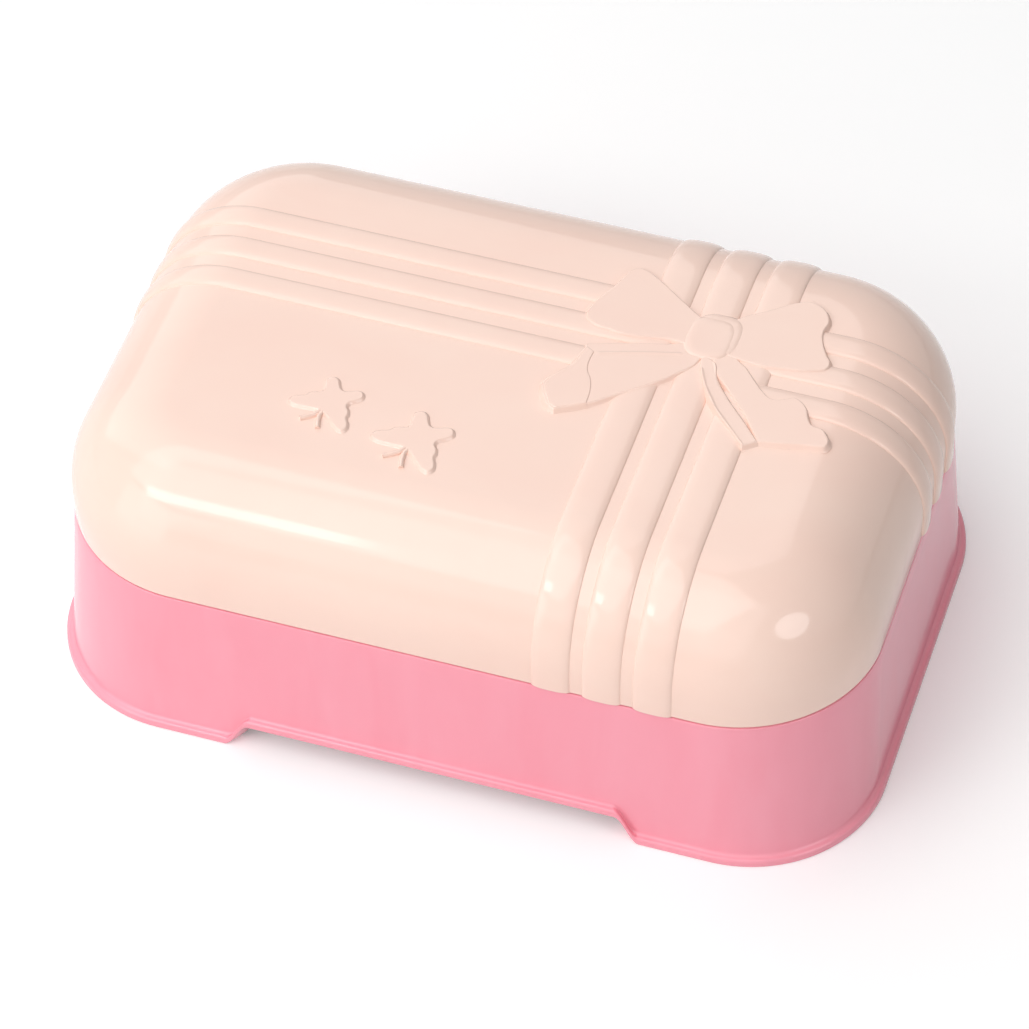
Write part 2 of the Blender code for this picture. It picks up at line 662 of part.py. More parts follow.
def make_tray(collection, cutters, material):
    """A dished tray hung by its rim, with drain slots between ribs that carry the soap."""
    def wall_ring(inset, height):
        # The wall's draft grows with the depth below the rim
        return seam_ring(inset - TRAY_DRAFT * (height - TRAY_RIM_HEIGHT) / TRAY_DEPTH, height)

    floor = TRAY_RIM_HEIGHT - TRAY_DEPTH
    inner = TRAY_WALL_INSET + TRAY_WALL
    rings = fillet_rings(wall_ring, inner, floor + TRAY_FILLET, TRAY_FILLET, FILLET_STEPS, -1)
    rings = rings[::-1]
    rings.append(wall_ring(inner, TRAY_RIM_HEIGHT))
    rings.append(seam_ring(TRAY_RIM_INSET, TRAY_RIM_HEIGHT))
    rings.append(seam_ring(TRAY_RIM_INSET, 0.0))
    rings.append(wall_ring(TRAY_WALL_INSET, 0.0))
    radius = TRAY_FILLET + TRAY_WALL
    rings += fillet_rings(
        wall_ring, TRAY_WALL_INSET, floor + TRAY_FILLET, radius, FILLET_STEPS, -1
    )
    tray = add_object("drain_tray", loft("drain_tray", rings, material), collection, TRAY_SEAT)

    ribs = bpy.data.collections.new("tray_ribs")
    cutters.children.link(ribs)
    rib_height = RIB_HEIGHT + TRAY_WALL / 2
    rib = rounded_bar(
        "soap_rib", (RIB_WIDTH, RIB_LENGTH, rib_height), RIB_WIDTH / 4, 1, ribs,
        TRAY_SEAT + floor + RIB_HEIGHT - rib_height / 2
    )
    repeat(make_cutter(rib), "along", SLOT_COUNT - 1, (SLOT_PITCH, 0.0, 0.0))
    boolean(tray, "ribs", "UNION", ribs)

    slots = bpy.data.collections.new("tray_slots")
    cutters.children.link(slots)
    slot = rounded_bar(
        "drain_slot", (SLOT_WIDTH, SLOT_LENGTH, TRAY_WALL + 2 * CUT_OVERRUN),
        SLOT_WIDTH * 0.49, 2, slots, TRAY_SEAT + floor - TRAY_WALL / 2
    )
    repeat(make_cutter(slot), "along", SLOT_COUNT, (SLOT_PITCH, 0.0, 0.0))
    repeat(slot, "rows", 2, (0.0, SLOT_ROW_PITCH, 0.0))
    boolean(tray, "slots", "DIFFERENCE", slots)
    return tray


clear_scene()
parts = new_collection("soap_box")
tools = new_collection("cutters")
base = make_base(parts, plastic("pink_plastic", PINK, 0.28))
tray = make_tray(parts, tools, plastic("cream_plastic", CREAM, 0.35))
lid = make_lid(parts, tools, plastic("peach_plastic", PEACH, 0.28))
for piece in (base, tray, lid):
    finish(piece)
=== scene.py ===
"""Lidded soap box: a pink base, a cream drain tray and a peach lid with a ribbon-and-bow relief."""

from math import cos, pi, radians, sin

import bmesh
import bpy
import numpy as np
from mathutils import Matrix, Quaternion, Vector
from mathutils.geometry import delaunay_2d_cdt, interpolate_bezier


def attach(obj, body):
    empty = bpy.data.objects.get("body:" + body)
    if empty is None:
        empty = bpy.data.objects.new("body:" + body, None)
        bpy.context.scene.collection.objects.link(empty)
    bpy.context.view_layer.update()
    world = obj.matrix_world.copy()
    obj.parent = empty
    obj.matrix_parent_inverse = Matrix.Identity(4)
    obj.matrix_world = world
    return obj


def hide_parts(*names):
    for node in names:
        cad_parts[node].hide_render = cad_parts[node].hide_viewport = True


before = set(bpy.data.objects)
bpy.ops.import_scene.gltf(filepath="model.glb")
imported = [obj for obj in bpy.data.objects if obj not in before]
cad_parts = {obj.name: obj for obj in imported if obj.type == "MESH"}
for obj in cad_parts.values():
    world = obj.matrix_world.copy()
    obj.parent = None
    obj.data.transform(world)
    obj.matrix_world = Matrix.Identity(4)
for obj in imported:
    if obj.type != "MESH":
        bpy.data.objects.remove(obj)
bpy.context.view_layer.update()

# ------------------------------------------------------------------------------------- base
# The lower half is one shot of pink polypropylene, glossy from a polished mould. Its skirt flares
# to a flanged foot with an arched notch in each long side, and turns in at the top to a lip that
# the lid drops over, a shelf, a ledge for the tray and a shallow basin.

BOX_LENGTH = 0.1300
BOX_WIDTH = 0.0864
CORNER_RADIUS = 0.0230
CORNER_STEPS = 36

SHOULDER_HEIGHT = 0.02935
BASE_WALL = 0.0017
FOOT_FLARE = 0.0015
FOOT_CORNER_RADIUS = 0.0211
FLANGE_PROUD = 0.00109
FLANGE_HEIGHT = 0.0014
FLANGE_ROUND = 0.0005
FLANGE_COVE = 0.0006
FOOT_EDGE_ROUND = 0.00025
SHOULDER_ROUND = 0.00025
NOTCH_WIDTH = 0.0641
NOTCH_HEIGHT = 0.0050
NOTCH_END_RUN = 0.0041
NOTCH_FLARE = 0.0018
NOTCH_END_STEPS = 16
NOTCH_FADE_HEIGHT = 0.0120
SKIRT_STEPS = 8

LIP_INSET = 0.0019
LIP_HEIGHT = 0.0032
LIP_ROUND = 0.0004
SHELF_INSET = 0.0033
RIM_INSET = 0.0066
LEDGE_DEPTH = 0.0033
BASIN_INSET = 0.0088
BASIN_FLOOR = 0.0079
BASIN_FLOOR_MARGIN = 0.0008
BASIN_DRAFT = 0.0012
BASIN_FILLET = 0.0040
EDGE_STEPS = 4
FILLET_STEPS = 10
MERGE_DISTANCE = 0.000001

# The plastic: how far its clouds of pigment and its polish vary, and its ripples and grain
CLOUD_RANGE = {"From Min": 0.3, "From Max": 0.7}
SMOOTHER_BY = 0.02
ROUGHER_BY = 0.03
RIPPLES_PER_METRE = 110.0
RIPPLE_HEIGHT = 0.00002
GRAINS_PER_METRE = 1600.0
POLYPROPYLENE_IOR = 1.49


def linear(code):
    """An sRGB hex colour as linear RGBA."""
    shares = [int(code[place:place + 2], 16) / 255 for place in (1, 3, 5)]
    return tuple(
        share / 12.92 if share <= 0.04045 else ((share + 0.055) / 1.055) ** 2.4 for share in shares
    ) + (1.0,)


def add_node(tree, kind, inputs=None, **settings):
    """Add a node with its settings, its input sockets filled in or linked."""
    node = tree.nodes.new(kind)
    for name, value in settings.items():
        setattr(node, name, value)
    for socket, value in (inputs or {}).items():
        if isinstance(value, bpy.types.NodeSocket):
            tree.links.new(value, node.inputs[socket])
        else:
            node.inputs[socket].default_value = value
    return node


def moulded_plastic(name, colour, deeper_colour, roughness, cloud_scale, grain):
    """Injection-moulded polypropylene: pigment clouded along the melt's flow, faint ripples.

    The scale gives clouds per metre along each axis, and the grain is the height of the
    fine mould texture in metres. Clouds stretched upright, as on the base, draw faint upright
    streaks of lighter and deeper colour that are partly a painted sheen.
    """
    made = bpy.data.materials.new(name)
    made.use_nodes = True
    tree = made.node_tree
    shader = tree.nodes["Principled BSDF"]
    place = add_node(tree, "ShaderNodeTexCoord").outputs["Object"]
    flow = add_node(tree, "ShaderNodeMapping", {"Vector": place, "Scale": cloud_scale})
    clouds = add_node(
        tree, "ShaderNodeTexNoise",
        {"Vector": flow.outputs["Vector"], "Scale": 1.0, "Detail": 3.0, "Roughness": 0.5,
         "Distortion": 0.6},
    )
    share = add_node(
        tree, "ShaderNodeMapRange", {"Value": clouds.outputs["Fac"], **CLOUD_RANGE}, clamp=True
    )
    # Where the clouds are stretched upright, as on the base, this mix also paints streaks of sheen
    pigment = add_node(
        tree, "ShaderNodeMix",
        {"Factor": share.outputs["Result"], 6: linear(colour), 7: linear(deeper_colour)},
        data_type="RGBA",
    )
    polish = add_node(
        tree, "ShaderNodeMapRange",
        {"Value": clouds.outputs["Fac"], **CLOUD_RANGE,
         "To Min": roughness - SMOOTHER_BY, "To Max": roughness + ROUGHER_BY},
    )
    # Ripples about 9 mm long, then a mould texture drawn at 0.6 mm, coarser than real, to show
    ripples = add_node(
        tree, "ShaderNodeTexNoise", {"Vector": place, "Scale": RIPPLES_PER_METRE, "Detail": 1.0}
    )
    texture = add_node(
        tree, "ShaderNodeTexNoise", {"Vector": place, "Scale": GRAINS_PER_METRE, "Detail": 2.0}
    )
    rippled = add_node(
        tree, "ShaderNodeBump",
        {"Height": ripples.outputs["Fac"], "Strength": 1.0, "Distance": RIPPLE_HEIGHT},
    )
    grained = add_node(
        tree, "ShaderNodeBump",
        {"Height": texture.outputs["Fac"], "Strength": 1.0, "Distance": grain,
         "Normal": rippled.outputs["Normal"]},
    )
    tree.links.new(pigment.outputs[2], shader.inputs["Base Color"])
    tree.links.new(polish.outputs["Result"], shader.inputs["Roughness"])
    tree.links.new(grained.outputs["Normal"], shader.inputs["Normal"])
    shader.inputs["IOR"].default_value = POLYPROPYLENE_IOR
    shader.inputs["Metallic"].default_value = 0.0
    return made


def add_object(name, data):
    """Put a mesh, curve, lamp or camera into the scene."""
    made = bpy.data.objects.new(name, data)
    bpy.context.scene.collection.objects.link(made)
    return made


def add_piece(name, mesh, material, body):
    """Show a finished mesh as a piece that rides on a body."""
    made = add_object(name, mesh)
    mesh.materials.clear()
    mesh.materials.append(material)
    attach(made, body)
    return made


def shade(mesh, angle=pi / 6):
    """Smooth shading that keeps the moulding's corners crisp."""
    mesh.shade_smooth()
    mesh.set_sharp_from_angle(angle=angle)


def mesh_from(build, name):
    """Turn a build's faces outwards and end it in a mesh."""
    bmesh.ops.recalc_face_normals(build, faces=build.faces)
    mesh = bpy.data.meshes.new(name)
    build.to_mesh(mesh)
    build.free()
    return mesh


def lofted_mesh(name, rings):
    """A closed mesh through rings of points, capped at the first and the last."""
    build = bmesh.new()
    rows = [[build.verts.new(point) for point in ring] for ring in rings]
    for row, following in zip(rows, rows[1:]):
        for place in range(len(row)):
            after = (place + 1) % len(row)
            build.faces.new((row[place], row[after], following[after], following[place]))
    build.faces.new(list(reversed(rows[0])))
    build.faces.new(rows[-1])
    bmesh.ops.remove_doubles(build, verts=build.verts, dist=MERGE_DISTANCE)
    return mesh_from(build, name)


def soft_step(share):
    """A rise from 0 to 1 that is level at both ends."""
    share = np.clip(share, 0, 1)
    return share * share * (3 - 2 * share)


def notch_stations(inset):
    """Places along a long side where the foot rises into its notch, with the rise there."""
    depth_share = (inset + FLANGE_PROUD) / (BASE_WALL + FLANGE_PROUD)
    right = []
    for step in range(NOTCH_END_STEPS + 1):
        share = step / NOTCH_END_STEPS
        along = NOTCH_WIDTH / 2 + (share - 0.5) * NOTCH_END_RUN - depth_share * NOTCH_FLARE
        right.append((along, NOTCH_HEIGHT * (1 - soft_step(share))))
    left = [(-along, rise) for along, rise in reversed(right)]
    return left + right


def rounded_outline(length, width, radius, stations):
    """Points (x, y, rise) of a rounded rectangle, anticlockwise from above."""
    points = []
    for corner in range(4):
        side_x = 1 if corner in (0, 3) else -1
        side_y = 1 if corner < 2 else -1
        for step in range(CORNER_STEPS + 1):
            angle = (corner + step / CORNER_STEPS) * pi / 2
            points.append((
                side_x * (length / 2 - radius) + radius * cos(angle),
                side_y * (width / 2 - radius) + radius * sin(angle), 0.0
            ))
        if corner in (0, 2):
            turn = -1 if corner == 0 else 1
            points += [(turn * along, side_y * width / 2, rise) for along, rise in stations]
    return points


def level_ring(inset, height):
    """The seam's outline drawn in by the inset, level at that height."""
    return [
        (x, y, height) for x, y, rise in rounded_outline(
            BOX_LENGTH - 2 * inset, BOX_WIDTH - 2 * inset, CORNER_RADIUS - inset,
            notch_stations(inset)
        )
    ]


def skirt_ring(inset, height, rise_share=1.0):
    """A ring of the flared skirt, which rises over the notches by that share of their height."""
    stations = notch_stations(inset)
    top = rounded_outline(
        BOX_LENGTH - 2 * inset, BOX_WIDTH - 2 * inset, CORNER_RADIUS - inset, stations
    )
    foot = rounded_outline(
        BOX_LENGTH + 2 * FOOT_FLARE - 2 * inset, BOX_WIDTH + 2 * FOOT_FLARE - 2 * inset,
        FOOT_CORNER_RADIUS - inset, stations
    )
    ring = []
    for (top_x, top_y, rise), (foot_x, foot_y, _) in zip(top, foot):
        z = height + rise * rise_share
        share = 1 - z / SHOULDER_HEIGHT
        ring.append((top_x + share * (foot_x - top_x), top_y + share * (foot_y - top_y), z))
    return ring


def arc(centre_inset, centre_height, radius, start, end, steps):
    """Points (inset, height) round part of a circle in a moulding's section, angles in turns."""
    return [
        (centre_inset + radius * cos(2 * pi * (start + (end - start) * step / steps)),
         centre_height + radius * sin(2 * pi * (start + (end - start) * step / steps)))
        for step in range(steps + 1)
    ]


def basin_ring(inset, height):
    """A ring of the basin's drafted wall."""
    share = (SHOULDER_HEIGHT - LEDGE_DEPTH - height) / (SHOULDER_HEIGHT - LEDGE_DEPTH - BASIN_FLOOR)
    return level_ring(inset + BASIN_DRAFT * share, height)


lip_top = SHOULDER_HEIGHT + LIP_HEIGHT
ledge = SHOULDER_HEIGHT - LEDGE_DEPTH
basin_floor_edge = BASIN_INSET + BASIN_FILLET + BASIN_DRAFT + BASIN_FLOOR_MARGIN
base_rings = [level_ring(basin_floor_edge, BASIN_FLOOR)]
base_rings += [
    basin_ring(inset, height)
    for inset, height in arc(BASIN_INSET + BASIN_FILLET, BASIN_FLOOR + BASIN_FILLET, BASIN_FILLET,
                             0.75, 0.5, FILLET_STEPS)
]
inside_section = [(BASIN_INSET, ledge - LIP_ROUND)]
inside_section += arc(BASIN_INSET - LIP_ROUND, ledge - LIP_ROUND, LIP_ROUND, 0.0, 0.25,
                      EDGE_STEPS)
inside_section += [(RIM_INSET, ledge)]
inside_section += arc(RIM_INSET - LIP_ROUND, SHOULDER_HEIGHT - LIP_ROUND, LIP_ROUND, 0.0, 0.25,
                      EDGE_STEPS)
inside_section += [(SHELF_INSET, SHOULDER_HEIGHT)]
inside_section += arc(SHELF_INSET - LIP_ROUND, lip_top - LIP_ROUND, LIP_ROUND, 0.0, 0.25,
                      EDGE_STEPS)
inside_section += arc(LIP_INSET + LIP_ROUND, lip_top - LIP_ROUND, LIP_ROUND, 0.25, 0.5, EDGE_STEPS)
inside_section += [(LIP_INSET, SHOULDER_HEIGHT)]
base_rings += [level_ring(inset, height) for inset, height in inside_section]
for inset, height in arc(SHOULDER_ROUND, SHOULDER_HEIGHT - SHOULDER_ROUND, SHOULDER_ROUND, 0.25,
                         0.5, EDGE_STEPS):
    base_rings.append(skirt_ring(inset, height, 0.0))

cove_top = FLANGE_HEIGHT + FLANGE_COVE
for step in range(1, SKIRT_STEPS + 1):
    height = SHOULDER_HEIGHT + (cove_top - SHOULDER_HEIGHT) * step / SKIRT_STEPS
    fade = soft_step(1 - (height - cove_top) / NOTCH_FADE_HEIGHT)
    base_rings.append(skirt_ring(0.0, height, fade))
foot_section = arc(-FLANGE_COVE, cove_top, FLANGE_COVE, 1.0, 0.75, EDGE_STEPS)[1:]
foot_section += arc(FLANGE_ROUND - FLANGE_PROUD, FLANGE_HEIGHT - FLANGE_ROUND, FLANGE_ROUND, 0.25,
                    0.5, EDGE_STEPS + 2)
foot_section += arc(FOOT_EDGE_ROUND - FLANGE_PROUD, FOOT_EDGE_ROUND, FOOT_EDGE_ROUND, 0.5, 0.75,
                    EDGE_STEPS)
foot_section += arc(BASE_WALL - FOOT_EDGE_ROUND, FOOT_EDGE_ROUND, FOOT_EDGE_ROUND, 0.75, 1.0,
                    EDGE_STEPS)
base_rings += [skirt_ring(inset, height) for inset, height in foot_section]

under_shelf = SHOULDER_HEIGHT - BASE_WALL
under_ledge = ledge - BASE_WALL
for step in range(1, SKIRT_STEPS + 1):
    height = under_shelf * step / SKIRT_STEPS
    fade = soft_step(1 - height / NOTCH_FADE_HEIGHT)
    base_rings.append(skirt_ring(BASE_WALL, height, fade))
base_rings.append(level_ring(RIM_INSET - BASE_WALL, under_shelf))
base_rings.append(level_ring(RIM_INSET - BASE_WALL, under_ledge))
base_rings.append(level_ring(BASIN_INSET - BASE_WALL, under_ledge))
base_rings += [
    basin_ring(inset, height)
    for inset, height in arc(BASIN_INSET + BASIN_FILLET, BASIN_FLOOR + BASIN_FILLET,
                             BASIN_FILLET + BASE_WALL, 0.5, 0.75, FILLET_STEPS)
]
base_rings.append(level_ring(basin_floor_edge, BASIN_FLOOR - BASE_WALL))

base_mesh = lofted_mesh("pink_base", base_rings)
shade(base_mesh)

# Polypropylene from a polished mould: a soft gloss with a slight haze, coloured right through.
# Its clouds are stretched upright, so their faint upright streaks of lighter and deeper pink
# are partly a painted sheen on the walls and partly an unevenness of the pigment.
pink_polypropylene = moulded_plastic(
    "moulded_pink_polypropylene", colour="#F9A1B1", deeper_colour="#F89BAB", roughness=0.14,
    cloud_scale=(120.0, 120.0, 30.0), grain=0.000002,
)
base = add_piece("pink_base", base_mesh, pink_polypropylene, "base")
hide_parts("base")

# ------------------------------------------------------------------------------- drain tray
# A shallow cream tray, moulded in polypropylene with a finer, duller texture. It hangs by its
# rim on the base's ledge. Two rows of slots let water through, and ribs hold the soap above them.

TRAY_SEAT = 0.02635
TRAY_RIM_INSET = 0.0070
TRAY_RIM_HEIGHT = 0.0016
TRAY_RIM_ROUND = 0.0004
TRAY_WALL_INSET = 0.0092
TRAY_WALL = 0.0015
TRAY_DEPTH = 0.0102
TRAY_DRAFT = 0.0010
TRAY_FILLET = 0.0030
TRAY_FLOOR_MARGIN = 0.0006
SLOT_WIDTH = 0.0030
SLOT_LENGTH = 0.0220
SLOT_PITCH = 0.0090
SLOT_COUNT = 11
SLOT_ROW_PITCH = 0.0270
SLOT_LIP = 0.0004
SLOT_STEPS = 8
RIB_WIDTH = 0.0016
RIB_HEIGHT = 0.0018
RIB_LENGTH = 0.0500
RIB_ROUND = 0.0005


def new_tree(name, sockets):
    """A Geometry Nodes tree from a geometry, those inputs and a material, and its inputs."""
    tree = bpy.data.node_groups.new(name, "GeometryNodeTree")
    for socket, kind in {"Geometry": "Geometry", **sockets, "Material": "Material"}.items():
        tree.interface.new_socket(socket, in_out="INPUT", socket_type="NodeSocket" + kind)
    tree.interface.new_socket("Geometry", in_out="OUTPUT", socket_type="NodeSocketGeometry")
    return tree, add_node(tree, "NodeGroupInput").outputs


def end_tree(tree, geometry, material):
    """End a tree in realised instances with a material."""
    real = add_node(tree, "GeometryNodeRealizeInstances", {"Geometry": geometry})
    painted = add_node(
        tree, "GeometryNodeSetMaterial",
        {"Geometry": real.outputs["Geometry"], "Material": material}
    )
    add_node(tree, "NodeGroupOutput", {"Geometry": painted.outputs["Geometry"]})


def run_tree(data, tree, values):
    """Run a tree on a mesh or curve with those input values, and return the plain mesh."""
    item = add_object(data.name, data)
    change = item.modifiers.new(tree.name, "NODES")
    change.node_group = tree
    for socket in tree.interface.items_tree:
        if socket.in_out == "INPUT" and socket.name in values:
            change[socket.identifier] = values[socket.name]
    graph = bpy.context.evaluated_depsgraph_get()
    graph.update()
    mesh = bpy.data.meshes.new_from_object(item.evaluated_get(graph))
    item.modifiers.clear()
    bpy.data.objects.remove(item, do_unlink=True)
    return mesh


def poly_curve(name, points):
    """A curve of straight pieces through points (x, y, z)."""
    curve = bpy.data.curves.new(name, "CURVE")
    curve.dimensions = "3D"
    spline = curve.splines.new("POLY")
    spline.points.add(len(points) - 1)
    for knot, point in zip(spline.points, points):
        knot.co = tuple(point) + (1.0,)
    return curve


# A section swept round the box's rounded outline. Along the section x is outwards and y down.
shell_tree, given = new_tree("shell_round_the_outline", {
    "Length": "Float", "Width": "Float", "Corner radius": "Float", "Corner steps": "Int",
})
frame_curve = add_node(
    shell_tree, "GeometryNodeCurvePrimitiveQuadrilateral",
    {"Width": given["Length"], "Height": given["Width"]}, mode="RECTANGLE"
)
corners = add_node(
    shell_tree, "GeometryNodeFilletCurve",
    {"Curve": frame_curve.outputs["Curve"], "Radius": given["Corner radius"],
     "Count": given["Corner steps"]}, mode="POLY"
)
upright = add_node(
    shell_tree, "GeometryNodeSetCurveNormal", {"Curve": corners.outputs["Curve"]}, mode="Z_UP"
)
swept = add_node(
    shell_tree, "GeometryNodeCurveToMesh",
    {"Curve": upright.outputs["Curve"], "Profile Curve": given["Geometry"]}
)
end_tree(shell_tree, swept.outputs["Mesh"], given["Material"])


def swept_shell(name, section, material):
    """A closed shell with that section, (inset, height) points from inside to outside."""
    mesh = run_tree(
        poly_curve(name, [(-inset, -height, 0.0) for inset, height in section]), shell_tree,
        {"Length": BOX_LENGTH, "Width": BOX_WIDTH, "Corner radius": CORNER_RADIUS,
         "Corner steps": CORNER_STEPS, "Material": material}
    )
    build = bmesh.new()
    build.from_mesh(mesh)
    bmesh.ops.remove_doubles(build, verts=build.verts, dist=MERGE_DISTANCE)
    bmesh.ops.holes_fill(build, edges=[edge for edge in build.edges if edge.is_boundary])
    return mesh_from(build, name)


def drafted(points):
    """Draw a tray wall's points in by its draft, which grows with the depth below the rim."""
    return [
        (inset + TRAY_DRAFT * (TRAY_SEAT + TRAY_RIM_HEIGHT - height) / TRAY_DEPTH, height)
        for inset, height in points
    ]


tray_rim = TRAY_SEAT + TRAY_RIM_HEIGHT
tray_floor = tray_rim - TRAY_DEPTH
tray_inner = TRAY_WALL_INSET + TRAY_WALL
tray_floor_edge = tray_inner + TRAY_FILLET + TRAY_DRAFT + TRAY_FLOOR_MARGIN
tray_section = [(tray_floor_edge, tray_floor)]
tray_section += drafted(arc(tray_inner + TRAY_FILLET, tray_floor + TRAY_FILLET, TRAY_FILLET, 0.75,
                            0.5, FILLET_STEPS))
tray_section += arc(tray_inner - TRAY_RIM_ROUND, tray_rim - TRAY_RIM_ROUND, TRAY_RIM_ROUND, 0.0,
                    0.25, EDGE_STEPS)
tray_section += arc(TRAY_RIM_INSET + TRAY_RIM_ROUND, tray_rim - TRAY_RIM_ROUND, TRAY_RIM_ROUND,
                    0.25, 0.5, EDGE_STEPS)
tray_section += [(TRAY_RIM_INSET, TRAY_SEAT), (TRAY_WALL_INSET, TRAY_SEAT)]
tray_section += drafted(arc(tray_inner + TRAY_FILLET, tray_floor + TRAY_FILLET,
                            TRAY_FILLET + TRAY_WALL, 0.5, 0.75, FILLET_STEPS))
tray_section += [(tray_floor_edge, tray_floor - TRAY_WALL)]

# The same plastic from a spark-eroded mould: a fine even grain that dulls the gloss a little
cream_polypropylene = moulded_plastic(
    "moulded_cream_polypropylene", colour="#FCE6DA", deeper_colour="#FADFD1", roughness=0.36,
    cloud_scale=(60.0, 60.0, 60.0), grain=0.000012,
)

# The slot's cutter is a stack of slot outlines that flare at both faces of the floor
flare = [(SLOT_LIP, SLOT_LIP)]
flare += [(SLOT_LIP * (1 - sin(pi / 2 * step / EDGE_STEPS)),
           -SLOT_LIP * (1 - cos(pi / 2 * step / EDGE_STEPS))) for step in range(EDGE_STEPS + 1)]
levels = [(grow, tray_floor + up) for grow, up in flare]
levels += [(grow, tray_floor - TRAY_WALL - up) for grow, up in reversed(flare)]
slot_rings = []
for grow, height in levels:
    radius = SLOT_WIDTH / 2 + grow
    slot_rings.append([
        (radius * cos(pi * step / SLOT_STEPS) * side,
         (SLOT_LENGTH - SLOT_WIDTH) / 2 * side + radius * sin(pi * step / SLOT_STEPS) * side,
         height)
        for side in (1, -1) for step in range(SLOT_STEPS + 1)
    ])
slot_tool = add_object("slot_cutter", lofted_mesh("slot_cutter", slot_rings))

build = bmesh.new()
bmesh.ops.create_cube(build, size=1.0)
bmesh.ops.scale(build, verts=build.verts, vec=(RIB_WIDTH, RIB_LENGTH, RIB_HEIGHT + TRAY_WALL / 2))
bmesh.ops.translate(
    build, verts=build.verts, vec=(0.0, 0.0, tray_floor + RIB_HEIGHT / 2 - TRAY_WALL / 4)
)
bmesh.ops.bevel(
    build, geom=[edge for edge in build.edges if max(v.co.z for v in edge.verts) > tray_floor],
    offset=RIB_ROUND, segments=EDGE_STEPS, profile=0.5, affect="EDGES"
)
rib_tool = add_object("soap_rib", mesh_from(build, "soap_rib"))

slots_tree, given = new_tree("slots_and_ribs", {
    "Slot": "Object", "Rib": "Object", "Pitch": "Float", "Slots in a row": "Int",
    "Row pitch": "Float",
})
gaps = add_node(
    slots_tree, "ShaderNodeMath", {0: given["Slots in a row"], 1: 1.0}, operation="SUBTRACT"
)
row_length = add_node(
    slots_tree, "ShaderNodeMath", {0: gaps.outputs[0], 1: given["Pitch"]}, operation="MULTIPLY"
)
slot_places = add_node(
    slots_tree, "GeometryNodeMeshGrid",
    {"Size X": row_length.outputs[0], "Size Y": given["Row pitch"],
     "Vertices X": given["Slots in a row"], "Vertices Y": 2}
)
slot_shape = add_node(slots_tree, "GeometryNodeObjectInfo", {"Object": given["Slot"]})
slots_placed = add_node(
    slots_tree, "GeometryNodeInstanceOnPoints",
    {"Points": slot_places.outputs["Mesh"], "Instance": slot_shape.outputs["Geometry"]}
)
cut = add_node(
    slots_tree, "GeometryNodeMeshBoolean",
    {0: given["Geometry"], 1: slots_placed.outputs["Instances"]},
    operation="DIFFERENCE", solver="EXACT"
)
rib_row = add_node(
    slots_tree, "ShaderNodeMath", {0: row_length.outputs[0], 1: given["Pitch"]},
    operation="SUBTRACT"
)
rib_start = add_node(
    slots_tree, "ShaderNodeMath", {0: rib_row.outputs[0], 1: -0.5}, operation="MULTIPLY"
)
first_rib = add_node(slots_tree, "ShaderNodeCombineXYZ", {"X": rib_start.outputs[0]})
rib_step = add_node(slots_tree, "ShaderNodeCombineXYZ", {"X": given["Pitch"]})
rib_places = add_node(
    slots_tree, "GeometryNodeMeshLine",
    {"Count": gaps.outputs[0], "Start Location": first_rib.outputs[0],
     "Offset": rib_step.outputs[0]}, mode="OFFSET"
)
rib_shape = add_node(slots_tree, "GeometryNodeObjectInfo", {"Object": given["Rib"]})
ribs_placed = add_node(
    slots_tree, "GeometryNodeInstanceOnPoints",
    {"Points": rib_places.outputs["Mesh"], "Instance": rib_shape.outputs["Geometry"]}
)
joined = add_node(slots_tree, "GeometryNodeJoinGeometry")
slots_tree.links.new(cut.outputs["Mesh"], joined.inputs["Geometry"])
slots_tree.links.new(ribs_placed.outputs["Instances"], joined.inputs["Geometry"])
end_tree(slots_tree, joined.outputs["Geometry"], given["Material"])

tray_mesh = run_tree(
    swept_shell("cream_drain_tray", tray_section, cream_polypropylene), slots_tree,
    {"Slot": slot_tool, "Rib": rib_tool, "Pitch": SLOT_PITCH, "Slots in a row": SLOT_COUNT,
     "Row pitch": SLOT_ROW_PITCH, "Material": cream_polypropylene}
)
for tool in (slot_tool, rib_tool):
    bpy.data.objects.remove(tool, do_unlink=True)
shade(tray_mesh)
tray = add_piece(
    "cream_drain_tray", tray_mesh, cream_polypropylene, "drain_tray"
)
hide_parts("drain_tray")

# -------------------------------------------------------------------------------------- lid
# A domed cover in pale peach polypropylene, moulded in one with its relief. Its straight wall
# drops over the base's lip and its top rolls over in one wide fillet.

LID_SEAT = 0.02965
LID_WALL = 0.0016
LID_STRAIGHT = 0.0045
LID_FILLET = 0.0166
LID_FILLET_STEPS = 40
LID_EDGE_ROUND = 0.0003
LID_TOP_MARGIN = 0.0008

roof_spring = LID_SEAT + LID_STRAIGHT
lid_section = [(LID_FILLET + LID_TOP_MARGIN, roof_spring + LID_FILLET - LID_WALL)]
lid_section += arc(LID_FILLET, roof_spring, LID_FILLET - LID_WALL, 0.25, 0.5, LID_FILLET_STEPS)
lid_section += arc(LID_WALL - LID_EDGE_ROUND, LID_SEAT + LID_EDGE_ROUND, LID_EDGE_ROUND, 1.0, 0.75,
                   EDGE_STEPS)
lid_section += arc(LID_EDGE_ROUND, LID_SEAT + LID_EDGE_ROUND, LID_EDGE_ROUND, 0.75, 0.5,
                   EDGE_STEPS)
lid_section += arc(LID_FILLET, roof_spring, LID_FILLET, 0.5, 0.25, LID_FILLET_STEPS)
lid_section += [(LID_FILLET + LID_TOP_MARGIN, roof_spring + LID_FILLET)]

